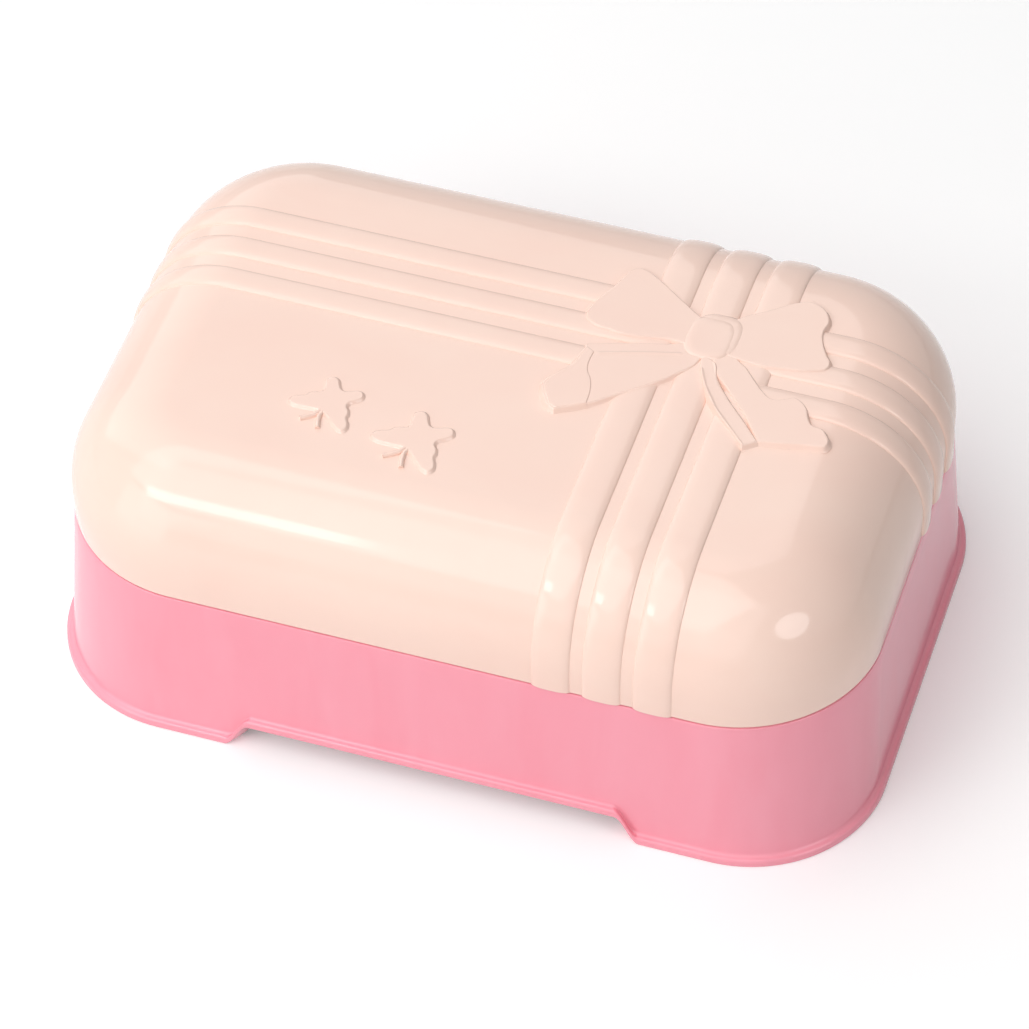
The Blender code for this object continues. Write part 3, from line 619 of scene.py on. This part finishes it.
# Pale pigment in the same plastic, so thin edges and steps stay soft and warm
peach_polypropylene = moulded_plastic(
    "moulded_peach_polypropylene", colour="#F9DACB", deeper_colour="#F8D6C7", roughness=0.08,
    cloud_scale=(40.0, 60.0, 60.0), grain=0.000002,
)
lid_mesh = swept_shell("peach_lid", lid_section, peach_polypropylene)
shade(lid_mesh)
lid = add_piece("peach_lid", lid_mesh, peach_polypropylene, "lid")
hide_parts("lid")

# ---------------------------------------------------------------------------- ribbon bands
# Three bands across the lid and three along it stand up from its wall like laid ribbon. Each
# has stepped edges and a shallow crown, and is moulded in one with the lid.

CROSS_BAND_WIDTH = 0.0062
CROSS_BAND_PITCH = 0.0080
CROSS_BANDS_X = 0.0273
LONG_BAND_WIDTH = 0.0045
LONG_BAND_PITCH = 0.0069
LONG_BANDS_Y = 0.0119
LONG_BANDS_LEFT_END = 0.0192
LONG_BANDS_RIGHT_END = 0.0356
BAND_COUNT = 3
BAND_EDGE = 0.00032
BAND_CROWN = 0.00027
BAND_SINK = 0.0006
BAND_SQUARENESS = 5.2
BAND_SECTION_STEPS = 28
BAND_FOOT_LIFT = 0.00002
BAND_FOOT_ROUND = 0.00025

bands_tree, given = new_tree("bands_over_the_lid", {
    "Width": "Float", "Edge height": "Float", "Crown": "Float", "Sink": "Float",
    "Squareness": "Float", "Section steps": "Int", "Count": "Int", "Pitch": "Vector",
})
section_line = add_node(bands_tree, "GeometryNodeCurvePrimitiveLine", {"End": (1.0, 0.0, 0.0)})
section_points = add_node(
    bands_tree, "GeometryNodeResampleCurve",
    {"Curve": section_line.outputs["Curve"], "Count": given["Section steps"]}
)

# The section is half a squared-off ellipse on a crown, walked from one foot to the other. Each
# row names a value, how it is worked out, and what from: inputs, earlier values or numbers.
values = dict(given.items())
values["along"] = add_node(bands_tree, "GeometryNodeSplineParameter").outputs["Factor"]
for name, operation, *terms in (
    ("angle", "MULTIPLY", "along", pi),
    ("squash", "DIVIDE", 2.0, "Squareness"),
    ("across", "COSINE", "angle"),
    ("across, plain", "ABSOLUTE", "across"),
    ("across, squared off", "POWER", "across, plain", "squash"),
    ("side", "SIGN", "across"),
    ("across, by side", "MULTIPLY", "across, squared off", "side"),
    ("up", "SINE", "angle"),
    ("up, plain", "MAXIMUM", "up", 0.0),
    ("up, squared off", "POWER", "up, plain", "squash"),
    ("full height", "ADD", "Edge height", "Sink"),
    ("flank rise", "MULTIPLY", "up, squared off", "full height"),
    ("flank", "SUBTRACT", "flank rise", "Sink"),
    ("crown fall", "MULTIPLY", "across, squared off", "across, squared off"),
    ("crown share", "SUBTRACT", 1.0, "crown fall"),
    ("height", "MULTIPLY_ADD", "crown share", "Crown", "flank"),
    ("half width", "MULTIPLY", "Width", 0.5),
    ("section x", "MULTIPLY", "across, by side", "half width"),
    ("section y", "MULTIPLY", "height", -1.0),
    ("first step", "MULTIPLY_ADD", "Count", -0.5, 0.5),
):
    inputs = {place: values.get(term, term) for place, term in enumerate(terms)}
    worked_out = add_node(bands_tree, "ShaderNodeMath", inputs, operation=operation)
    values[name] = worked_out.outputs[0]

section_place = add_node(
    bands_tree, "ShaderNodeCombineXYZ", {"X": values["section x"], "Y": values["section y"]}
)
section_shape = add_node(
    bands_tree, "GeometryNodeSetPosition",
    {"Geometry": section_points.outputs["Curve"], "Position": section_place.outputs[0]}
)
section_closed = add_node(
    bands_tree, "GeometryNodeSetSplineCyclic",
    {"Geometry": section_shape.outputs["Geometry"], "Cyclic": True}
)
first_band = add_node(
    bands_tree, "ShaderNodeVectorMath", {0: given["Pitch"], "Scale": values["first step"]},
    operation="SCALE"
)
band_places = add_node(
    bands_tree, "GeometryNodeMeshLine",
    {"Count": given["Count"], "Start Location": first_band.outputs["Vector"],
     "Offset": given["Pitch"]}, mode="OFFSET"
)
facing = add_node(
    bands_tree, "GeometryNodeSetCurveNormal",
    {"Curve": given["Geometry"], "Normal": given["Pitch"]}, mode="FREE"
)
paths = add_node(
    bands_tree, "GeometryNodeInstanceOnPoints",
    {"Points": band_places.outputs["Mesh"], "Instance": facing.outputs["Curve"]}
)
paths_real = add_node(
    bands_tree, "GeometryNodeRealizeInstances", {"Geometry": paths.outputs["Instances"]}
)
bands_swept = add_node(
    bands_tree, "GeometryNodeCurveToMesh",
    {"Curve": paths_real.outputs["Geometry"], "Profile Curve": section_closed.outputs["Geometry"],
     "Fill Caps": True}
)
end_tree(bands_tree, bands_swept.outputs["Mesh"], given["Material"])


def band_side(reach):
    """Points (along, height) up one side of the lid, from its edge to its top."""
    points = [(-reach, LID_SEAT + BAND_FOOT_LIFT + BAND_FOOT_ROUND * step / EDGE_STEPS)
              for step in range(EDGE_STEPS + 1)]
    points += [(-reach + inset, height) for inset, height in arc(
        LID_FILLET, roof_spring, LID_FILLET, 0.5, 0.25, LID_FILLET_STEPS
    )]
    return points


def add_bands(name, path, width, pitch):
    """Three bands along a path over the lid, with their lower edges rounded."""
    mesh = run_tree(
        poly_curve(name, path), bands_tree,
        {"Width": width, "Edge height": BAND_EDGE, "Crown": BAND_CROWN, "Sink": BAND_SINK,
         "Squareness": BAND_SQUARENESS, "Section steps": BAND_SECTION_STEPS, "Count": BAND_COUNT,
         "Pitch": pitch, "Material": peach_polypropylene}
    )
    for vertex in mesh.vertices:
        rise = vertex.co.z - LID_SEAT - BAND_FOOT_LIFT
        proud = (abs(vertex.co.x) - BOX_LENGTH / 2, abs(vertex.co.y) - BOX_WIDTH / 2)
        axis = 0 if proud[0] > proud[1] else 1
        if rise < BAND_FOOT_ROUND and proud[axis] > 0:
            short = BAND_FOOT_ROUND - rise
            pull = BAND_FOOT_ROUND - (BAND_FOOT_ROUND ** 2 - short ** 2) ** 0.5
            pull = min(pull, proud[axis])
            vertex.co[axis] -= pull if vertex.co[axis] > 0 else -pull
    build = bmesh.new()
    build.from_mesh(mesh)
    mesh = mesh_from(build, name)
    shade(mesh, pi / 4)
    add_piece(name, mesh, peach_polypropylene, "lid")


front_side = band_side(BOX_WIDTH / 2)
over_lid = front_side + [(-along, height) for along, height in reversed(front_side)]
add_bands(
    "cross_bands", [(CROSS_BANDS_X, along, height) for along, height in over_lid],
    CROSS_BAND_WIDTH, (CROSS_BAND_PITCH, 0.0, 0.0)
)
end_side = band_side(BOX_LENGTH / 2)
lid_top = roof_spring + LID_FILLET
add_bands(
    "long_bands_left",
    [(along, LONG_BANDS_Y, height) for along, height in end_side]
    + [(LONG_BANDS_LEFT_END, LONG_BANDS_Y, lid_top)],
    LONG_BAND_WIDTH, (0.0, -LONG_BAND_PITCH, 0.0)
)
add_bands(
    "long_bands_right",
    [(LONG_BANDS_RIGHT_END, LONG_BANDS_Y, lid_top)]
    + [(-along, LONG_BANDS_Y, height) for along, height in reversed(end_side)],
    LONG_BAND_WIDTH, (0.0, -LONG_BAND_PITCH, 0.0)
)

# -------------------------------------------------------------------------------------- bow
# A flat bow in relief covers the crossing of the bands: two loops, a folded tail to the left, a
# wide and a narrow tail to the right, and a low knot. Each layer is a plate with soft edges.

BOW_SPAN = 0.0400
BOW_X = 0.0274
BOW_Y = 0.0138
LOOP_HEIGHT = 0.00086
WIDE_TAIL_HEIGHT = 0.00080
LEFT_TAIL_HEIGHT = 0.00076
LEFT_FOLD_HEIGHT = 0.00088
NARROW_TAIL_HEIGHT = 0.00089
KNOT_WIDTH = 0.0082
KNOT_LENGTH = 0.0094
KNOT_HEIGHT = 0.00106
KNOT_FOLD_SHIFT = 0.0009
KNOT_FOLD_HEIGHT = 0.00099
KNOT_ROUNDING = 0.0014
KNOT_SQUARENESS = 3.0
KNOT_POINTS = 24
PLATE_EDGE = 0.00070
PLATE_FOOT = 0.00012
PLATE_SINK = 0.0005
PLATE_DIP = 0.00005
PLATE_SPACING = 0.00022
PLATE_FILL_SPACING = 0.0007
CREASE_WIDTH = 0.00042
CREASE_HEIGHT = 0.00012

# Where a plate's rings of points lie, in widths of its edge from the outline, how near a ring may
# come to another part of the outline, and where the grid that fills the middle begins
PLATE_RINGS = (
    0.04, 0.1, 0.17, 0.25, 0.33, 0.42, 0.5, 0.58, 0.67, 0.75, 0.83, 0.9, 0.96, 1.05, 1.4
)
PLATE_RING_NEAREST = 0.92
PLATE_FILL_FROM = 1.9
# Lines of points along a crease, in its widths, and how many plate edges from the outline
CREASE_LINES = (-1.1, -0.8, -0.6, -0.4, -0.2, 0.0, 0.2, 0.4, 0.6, 0.8, 1.1)
CREASE_FROM = 0.05
# A handle on a smooth curve is as long as the way to the next knot over this
HANDLE_DIVISOR = 2.5614
TINY_SQUARE = 1e-18
MILLIMETRES = 1000
MERGE_DISTANCE_MM = 0.0005

# Outlines as shares of the bow's span from the knot's centre. The third value is 1 at a corner.
LEFT_LOOP_SHARES = (
    (-0.01, 0.07, 0), (-0.07, 0.11, 0), (-0.17, 0.18, 0), (-0.27, 0.25, 0), (-0.33, 0.285, 0),
    (-0.38, 0.29, 0), (-0.41, 0.26, 0), (-0.44, 0.18, 0), (-0.475, 0.105, 0), (-0.505, 0.02, 0),
    (-0.50, -0.03, 0), (-0.46, -0.065, 0), (-0.38, -0.08, 0), (-0.285, -0.085, 0),
    (-0.165, -0.065, 0), (-0.02, -0.045, 0),
)
RIGHT_LOOP_SHARES = (
    (0.03, 0.08, 0), (0.07, 0.14, 0), (0.175, 0.22, 0), (0.275, 0.295, 0), (0.31, 0.308, 0),
    (0.345, 0.305, 0), (0.385, 0.285, 0), (0.41, 0.255, 0), (0.425, 0.215, 0), (0.418, 0.16, 0),
    (0.43, 0.11, 0), (0.46, 0.05, 0), (0.485, 0.01, 0), (0.48, -0.03, 0), (0.43, -0.06, 0),
    (0.315, -0.085, 0), (0.17, -0.09, 0), (0.05, -0.055, 0),
)
LEFT_TAIL_SHARES = (
    (-0.01, -0.03, 0), (-0.165, -0.07, 0), (-0.28, -0.10, 0), (-0.455, -0.158, 1),
    (-0.47, -0.23, 0), (-0.49, -0.29, 0), (-0.525, -0.34, 0), (-0.553, -0.385, 0),
    (-0.557, -0.43, 0), (-0.53, -0.49, 0), (-0.50, -0.53, 0), (-0.465, -0.543, 1),
    (-0.34, -0.47, 0), (-0.265, -0.405, 0), (-0.14, -0.30, 0), (-0.075, -0.235, 0),
    (0.0, -0.13, 0),
)
LEFT_FOLD_SHARES = (
    (-0.45, -0.165, 1), (-0.395, -0.195, 1), (-0.40, -0.24, 0), (-0.395, -0.29, 0),
    (-0.365, -0.345, 0), (-0.35, -0.40, 0), (-0.345, -0.475, 1), (-0.463, -0.535, 1),
    (-0.495, -0.522, 0), (-0.52, -0.488, 0), (-0.545, -0.43, 0), (-0.542, -0.39, 0),
    (-0.515, -0.345, 0), (-0.48, -0.29, 0), (-0.462, -0.23, 0),
)
WIDE_TAIL_SHARES = (
    (0.04, -0.045, 0), (0.165, -0.09, 0), (0.22, -0.145, 0), (0.28, -0.207, 0),
    (0.315, -0.228, 0), (0.352, -0.218, 0), (0.39, -0.198, 0), (0.42, -0.205, 0),
    (0.462, -0.243, 0), (0.482, -0.29, 0), (0.50, -0.315, 0), (0.54, -0.323, 0),
    (0.568, -0.35, 0), (0.588, -0.385, 0), (0.58, -0.425, 0), (0.545, -0.437, 0),
    (0.50, -0.442, 0), (0.40, -0.463, 0), (0.315, -0.478, 1), (0.24, -0.37, 0),
    (0.14, -0.257, 0), (0.04, -0.13, 0),
)
NARROW_TAIL_SHARES = (
    (-0.005, -0.10, 0), (0.0, -0.17, 0), (0.04, -0.255, 0), (0.115, -0.3625, 0),
    (0.2225, -0.47, 0), (0.2725, -0.52, 1), (0.335, -0.47, 1), (0.245, -0.37, 0),
    (0.15, -0.2675, 0), (0.095, -0.195, 0), (0.055, -0.11, 0),
)
LEFT_CREASES_SHARES = (((-0.385, -0.20), (-0.235, -0.153), (-0.08, -0.113)),)
NARROW_CREASES_SHARES = (
    ((0.012, -0.17), (0.05, -0.25), (0.123, -0.354), (0.268, -0.503)),
    ((0.052, -0.12), (0.088, -0.19), (0.142, -0.262), (0.236, -0.366), (0.321, -0.462)),
)


def smooth_outline(knots):
    """A closed outline through knots (x, y, corner), curved except at its corners."""
    places = [Vector(knot[:2]) for knot in knots]
    handles = []
    for number, here in enumerate(places):
        before = places[number - 1]
        after = places[(number + 1) % len(places)]
        if knots[number][2]:
            handles.append((here.lerp(before, 1 / 3), here.lerp(after, 1 / 3)))
        else:
            to_before = (here - before).length
            to_after = (after - here).length
            pull = (here - before) / to_before + (after - here) / to_after
            pull = pull / (pull.length * HANDLE_DIVISOR)
            handles.append((here - pull * to_before, here + pull * to_after))
    points = []
    for number, here in enumerate(places):
        after = (number + 1) % len(places)
        stretch = (places[after] - here).length
        steps = max(3, round(stretch / PLATE_SPACING))
        points += interpolate_bezier(
            here, handles[number][1], handles[after][0], places[after], steps + 1
        )[:-1]
    return np.array([tuple(point) for point in points])


def distance_to(points, starts, ends):
    """The least distance from each point to the straight pieces between starts and ends."""
    nearest = np.full(len(points), np.inf)
    for start, end in zip(starts, ends):
        run = end - start
        share = np.clip((points - start) @ run / max(run @ run, TINY_SQUARE), 0, 1)
        away = points - start - share[:, None] * run
        nearest = np.minimum(nearest, np.hypot(away[:, 0], away[:, 1]))
    return nearest


def is_inside(points, outline):
    """Whether each point lies inside a closed outline."""
    inside = np.zeros(len(points), bool)
    for start, end in zip(outline, np.roll(outline, -1, 0)):
        crosses = (start[1] > points[:, 1]) != (end[1] > points[:, 1])
        if crosses.any():
            reach = (end[0] - start[0]) * (points[:, 1] - start[1]) / (end[1] - start[1])
            inside ^= crosses & (points[:, 0] < start[0] + reach)
    return inside


def offset_outline(outline, depth):
    """The outline's points moved in by a depth, square to it."""
    run = np.roll(outline, -1, 0) - np.roll(outline, 1, 0)
    run /= np.hypot(run[:, 0], run[:, 1])[:, None]
    normal = np.stack([-run[:, 1], run[:, 0]], 1)
    area = np.sum(outline[:, 0] * np.roll(outline[:, 1], -1)
                  - outline[:, 1] * np.roll(outline[:, 0], -1))
    return outline + normal * depth * (1 if area > 0 else -1)


def deeper_than(points, outline, depth):
    """The points that lie inside an outline and farther than a depth from it."""
    deep = distance_to(points, outline, np.roll(outline, -1, 0))
    return points[is_inside(points, outline) & (deep > depth)]


def plate_points(outline, creases):
    """Points for a plate's faces: its outline, rings inside it, a grid, and lines by creases."""
    parts = [outline]
    for share in PLATE_RINGS:
        ring = offset_outline(outline, share * PLATE_EDGE)
        parts.append(deeper_than(ring, outline, PLATE_RING_NEAREST * share * PLATE_EDGE))
    low, high = outline.min(0), outline.max(0)
    grid = np.stack(np.meshgrid(
        np.arange(low[0], high[0], PLATE_FILL_SPACING),
        np.arange(low[1], high[1], PLATE_FILL_SPACING)
    ), -1).reshape(-1, 2)
    parts.append(deeper_than(grid, outline, PLATE_FILL_FROM * PLATE_EDGE))
    for crease in creases:
        for start, end in zip(crease, crease[1:]):
            run = end - start
            steps = max(2, int(np.hypot(*run) / PLATE_SPACING))
            line = start + np.linspace(0, 1, steps, endpoint=False)[:, None] * run
            normal = np.array((-run[1], run[0])) / np.hypot(*run)
            for share in CREASE_LINES:
                side = line + normal * share * CREASE_WIDTH
                parts.append(deeper_than(side, outline, CREASE_FROM * PLATE_EDGE))
    return np.concatenate(parts)


def raised_plate(build, knots, height, creases=(), dome=0.0):
    """Add a plate on the lid's top with soft edges, ridges along its creases, or a dome."""
    creases = [np.array(crease) for crease in creases]
    outline = offset_outline(smooth_outline(knots), -PLATE_FOOT)
    span = dome or PLATE_EDGE
    points = plate_points(outline, creases)
    count = len(outline)
    # The triangulation works in millimetres, where its tolerance suits the spacing
    found, _, faces, origins, _, _ = delaunay_2d_cdt(
        [Vector(point) for point in points * MILLIMETRES],
        [(n, (n + 1) % count) for n in range(count)], [], 1, MERGE_DISTANCE_MM
    )
    flat = np.array([tuple(point) for point in found]) / MILLIMETRES
    deep = distance_to(flat, outline, np.roll(outline, -1, 0))
    edge = soft_step(deep / span) if not dome else np.sqrt(
        np.clip(1 - (1 - np.clip(deep / span, 0, 1)) ** 2, 0, 1)
    )
    heights = -PLATE_DIP + (height + PLATE_DIP) * edge
    for crease in creases:
        away = distance_to(flat, crease[:-1], crease[1:])
        ridge = np.clip(1 - (away / CREASE_WIDTH) ** 2, 0, 1) ** 2
        heights += CREASE_HEIGHT * ridge * soft_step(deep / span)
    top = [build.verts.new((x, y, lid_top + z)) for (x, y), z in zip(flat, heights)]
    for face in faces:
        build.faces.new([top[corner] for corner in face])
    rim = {}
    for number, sources in enumerate(origins):
        for source in sources:
            if source < count:
                rim[source] = number
    walk = []
    for place in range(count):
        if place in rim and (not walk or walk[-1] != rim[place]):
            walk.append(rim[place])
    if walk[0] == walk[-1]:
        walk.pop()
    foot = [build.verts.new((*flat[number], lid_top - PLATE_SINK)) for number in walk]
    for place, number in enumerate(walk):
        after = (place + 1) % len(walk)
        build.faces.new((top[number], foot[place], foot[after], top[walk[after]]))
    build.faces.new(foot)


def bow_place(shares):
    """Points on the lid's top from shares of the bow's span."""
    return [(BOW_X + share[0] * BOW_SPAN, BOW_Y + share[1] * BOW_SPAN) + tuple(share[2:])
            for share in shares]


def knot_outline(shift):
    """Points round the knot, an oval squared off towards its corners, shifted on both axes."""
    knots = []
    for number in range(KNOT_POINTS):
        run = cos(2 * pi * number / KNOT_POINTS), sin(2 * pi * number / KNOT_POINTS)
        share_x, share_y = [
            (1 if part > 0 else -1) * abs(part) ** (2 / KNOT_SQUARENESS) for part in run
        ]
        knots.append((
            BOW_X + shift + KNOT_WIDTH / 2 * share_x, BOW_Y + shift + KNOT_LENGTH / 2 * share_y, 0
        ))
    return knots


def finish_relief(name, build):
    """Close a relief's mesh and show it on the lid."""
    mesh = mesh_from(build, name)
    shade(mesh, pi / 3)
    add_piece(name, mesh, peach_polypropylene, "lid")


build = bmesh.new()
for shares, height, creases in (
    (LEFT_LOOP_SHARES, LOOP_HEIGHT, ()),
    (RIGHT_LOOP_SHARES, LOOP_HEIGHT, ()),
    (LEFT_TAIL_SHARES, LEFT_TAIL_HEIGHT, LEFT_CREASES_SHARES),
    (LEFT_FOLD_SHARES, LEFT_FOLD_HEIGHT, ()),
    (WIDE_TAIL_SHARES, WIDE_TAIL_HEIGHT, ()),
    (NARROW_TAIL_SHARES, NARROW_TAIL_HEIGHT, NARROW_CREASES_SHARES),
):
    raised_plate(build, bow_place(shares), height, [bow_place(crease) for crease in creases])
for shift, height in ((KNOT_FOLD_SHIFT, KNOT_FOLD_HEIGHT), (0.0, KNOT_HEIGHT)):
    raised_plate(build, knot_outline(shift), height, dome=KNOT_ROUNDING)
finish_relief("ribbon_bow", build)

# ------------------------------------------------------------------------------ butterflies
# Two small butterflies stand in low relief to the left of the bow, heads to the front, with a
# pair of thin feelers each.

BUTTERFLY_HEIGHT = 0.00048
FEELER_WIDTH = 0.00085
FEELER_HEIGHT = 0.00055
FEELER_POINTS = 9
FEELER_SIDES = 12
FEELER_TIP_SHARE = 0.55

# Each butterfly's span, its head's x and y, and the turn of its body in radians
FRONT_BUTTERFLY = (0.0126, -0.0104, -0.0217, 0.40)
REAR_BUTTERFLY = (0.0115, -0.0253, -0.0181, 0.35)

# One side of a butterfly from head to tail, as shares of its span: along the body, out from it
WING_SHARES = (
    (-0.024, 0.045), (-0.09, 0.23), (-0.137, 0.37), (-0.12, 0.47), (-0.03, 0.50), (0.06, 0.455),
    (0.15, 0.367), (0.18, 0.363), (0.26, 0.308), (0.315, 0.24), (0.45, 0.30), (0.53, 0.325),
    (0.60, 0.293), (0.635, 0.235), (0.615, 0.145), (0.55, 0.075),
)
TAIL_SHARE = 0.505
FEELER_SHARES = ((0.02, 0.02), (-0.06, 0.03), (-0.155, 0.085), (-0.24, 0.15))

feelers_tree, given = new_tree("feelers_on_the_lid", {
    "Width": "Float", "Height": "Float", "Points": "Int",
})
feeler_path = add_node(
    feelers_tree, "GeometryNodeResampleCurve",
    {"Curve": given["Geometry"], "Count": given["Points"]}
)
feeler_upright = add_node(
    feelers_tree, "GeometryNodeSetCurveNormal", {"Curve": feeler_path.outputs["Curve"]},
    mode="Z_UP"
)
feeler_along = add_node(feelers_tree, "GeometryNodeSplineParameter").outputs["Factor"]
feeler_taper = add_node(
    feelers_tree, "ShaderNodeMapRange",
    {"Value": feeler_along, "From Min": 0.0, "From Max": 1.0, "To Min": 1.0,
     "To Max": FEELER_TIP_SHARE}
)
feeler_tapered = add_node(
    feelers_tree, "GeometryNodeSetCurveRadius",
    {"Curve": feeler_upright.outputs["Curve"], "Radius": feeler_taper.outputs["Result"]}
)
feeler_circle = add_node(
    feelers_tree, "GeometryNodeCurvePrimitiveCircle", {"Resolution": FEELER_SIDES, "Radius": 0.5}
)
feeler_height = add_node(
    feelers_tree, "ShaderNodeMath", {0: given["Height"], 1: 2.0}, operation="MULTIPLY"
)
feeler_size = add_node(
    feelers_tree, "ShaderNodeCombineXYZ",
    {"X": given["Width"], "Y": feeler_height.outputs[0], "Z": 1.0}
)
feeler_section = add_node(
    feelers_tree, "GeometryNodeTransform",
    {"Geometry": feeler_circle.outputs["Curve"], "Scale": feeler_size.outputs[0]}
)
feelers_swept = add_node(
    feelers_tree, "GeometryNodeCurveToMesh",
    {"Curve": feeler_tapered.outputs["Curve"],
     "Profile Curve": feeler_section.outputs["Geometry"], "Fill Caps": True}
)
end_tree(feelers_tree, feelers_swept.outputs["Mesh"], given["Material"])


def add_butterfly(name, span, head_x, head_y, turn):
    """A butterfly whose body runs from its head along the turned +Y direction."""
    def place(along, out):
        return (
            head_x + span * (along * sin(turn) + out * cos(turn)),
            head_y + span * (along * cos(turn) - out * sin(turn)),
        )

    knots = [place(along, out) + (0,) for along, out in WING_SHARES]
    knots += [place(TAIL_SHARE, 0.0) + (0,)]
    knots += [place(along, -out) + (0,) for along, out in reversed(WING_SHARES)]
    build = bmesh.new()
    raised_plate(build, knots, BUTTERFLY_HEIGHT)
    for side in (1, -1):
        path = [place(along, side * out) + (lid_top,) for along, out in FEELER_SHARES]
        feeler = run_tree(
            poly_curve(name + "_feeler", path), feelers_tree,
            {"Width": FEELER_WIDTH, "Height": FEELER_HEIGHT, "Points": FEELER_POINTS,
             "Material": peach_polypropylene}
        )
        build.from_mesh(feeler)
    finish_relief(name, build)


add_butterfly("front_butterfly", *FRONT_BUTTERFLY)
add_butterfly("rear_butterfly", *REAR_BUTTERFLY)

# ----------------------------------------------------------------------- studio and camera
# A white table and surround under three wide soft boxes, which give the plain level. A narrow
# box draws the streak on the lid's front and a small one the spot on its near corner, and one
# low on the left lifts the upright walls.

FLOOR_REACH = 3.0
FLOOR_DROP = 0.00005
FLOOR_GLOW = 0.18
SURROUND_LIGHT = 0.06

# Soft boxes: shape, azimuth from the front to +X and elevation in degrees, distance, width and
# height in metres, watts, the point that each is turned to, and its roll in degrees
BOX_MIDDLE = (0.0, 0.0, 0.03)
SOFT_BOXES = {
    "strip_box": (
        "RECTANGLE", -34.0, 40.0, 0.60, 0.279, 0.106, 0.40, (-0.034, -0.038, 0.046), 22.0
    ),
    "corner_box": ("ELLIPSE", 63.0, 34.0, 0.60, 0.28, 0.26, 0.62, (0.054, -0.034, 0.046), 0.0),
    "low_box": ("RECTANGLE", -42.0, 16.0, 0.50, 0.36, 0.30, 0.38, (-0.02, -0.04, 0.02), 0.0),
    "front_box": ("RECTANGLE", -12.0, 45.0, 1.40, 1.80, 1.80, 7.3, BOX_MIDDLE, 0.0),
    "high_box": ("RECTANGLE", -40.0, 62.0, 1.60, 1.60, 1.60, 12.2, BOX_MIDDLE, 0.0),
    "back_box": ("RECTANGLE", -130.0, 45.0, 1.40, 1.80, 1.80, 10.6, BOX_MIDDLE, 0.0),
}

CAMERA_PLACE = (0.167206, -0.488348, 0.597188)
CAMERA_TURN = (41.6169, 0.9292, 17.9130)
CAMERA_LENS = 170.78
CAMERA_SENSOR = 36.0


def shown_share(tree):
    """A value of 1 for the rays that show a thing, straight, mirrored or through, else 0."""
    rays = add_node(tree, "ShaderNodeLightPath").outputs
    seen = add_node(
        tree, "ShaderNodeMath", {0: rays["Is Camera Ray"], 1: rays["Is Glossy Ray"]},
        operation="MAXIMUM"
    )
    return add_node(
        tree, "ShaderNodeMath", {0: seen.outputs[0], 1: rays["Is Transmission Ray"]},
        operation="MAXIMUM"
    ).outputs[0]


floor_mesh = bpy.data.meshes.new("table")
build = bmesh.new()
bmesh.ops.create_grid(build, x_segments=1, y_segments=1, size=FLOOR_REACH)
bmesh.ops.translate(build, verts=build.verts, vec=(0.0, 0.0, -FLOOR_DROP))
build.to_mesh(floor_mesh)
build.free()
floor = add_object("table", floor_mesh)

# Matt white board, which glows a little to the camera and in the gloss so that it stays white
white_board = bpy.data.materials.new("matt_white_board")
white_board.use_nodes = True
tree = white_board.node_tree
board = tree.nodes["Principled BSDF"]
board.inputs["Base Color"].default_value = linear("#F2F2F2")
board.inputs["Roughness"].default_value = 0.8
glow = add_node(
    tree, "ShaderNodeMath", {0: shown_share(tree), 1: FLOOR_GLOW}, operation="MULTIPLY"
)
tree.links.new(glow.outputs[0], board.inputs["Emission Strength"])
board.inputs["Emission Color"].default_value = linear("#FFFFFF")
floor_mesh.materials.append(white_board)

world = bpy.data.worlds.new("white_studio")
bpy.context.scene.world = world
world.use_nodes = True
tree = world.node_tree
sky = tree.nodes["Background"]
sky.inputs["Color"].default_value = linear("#FFFFFF")
level = add_node(
    tree, "ShaderNodeMapRange",
    {"Value": shown_share(tree), "To Min": SURROUND_LIGHT, "To Max": 1.0}
)
tree.links.new(level.outputs["Result"], sky.inputs["Strength"])

for name, settings in SOFT_BOXES.items():
    shape, azimuth, elevation, distance, width, height, watts, target, roll = settings
    lamp = bpy.data.lights.new(name, "AREA")
    lamp.shape = shape
    lamp.size = width
    lamp.size_y = height
    lamp.energy = watts
    soft_box = add_object(name, lamp)
    way = Vector((
        cos(radians(elevation)) * sin(radians(azimuth)),
        -cos(radians(elevation)) * cos(radians(azimuth)), sin(radians(elevation))
    ))
    soft_box.location = Vector(target) + way * distance
    turned = (-way).to_track_quat("-Z", "Y") @ Quaternion((0.0, 0.0, 1.0), radians(roll))
    soft_box.rotation_euler = turned.to_euler()

camera = add_object("camera", bpy.data.cameras.new("camera"))
camera.location = CAMERA_PLACE
camera.rotation_euler = [radians(turn) for turn in CAMERA_TURN]
camera.data.sensor_width = CAMERA_SENSOR
camera.data.lens = CAMERA_LENS
bpy.context.scene.camera = camera
bpy.context.scene.view_settings.view_transform = "Standard"
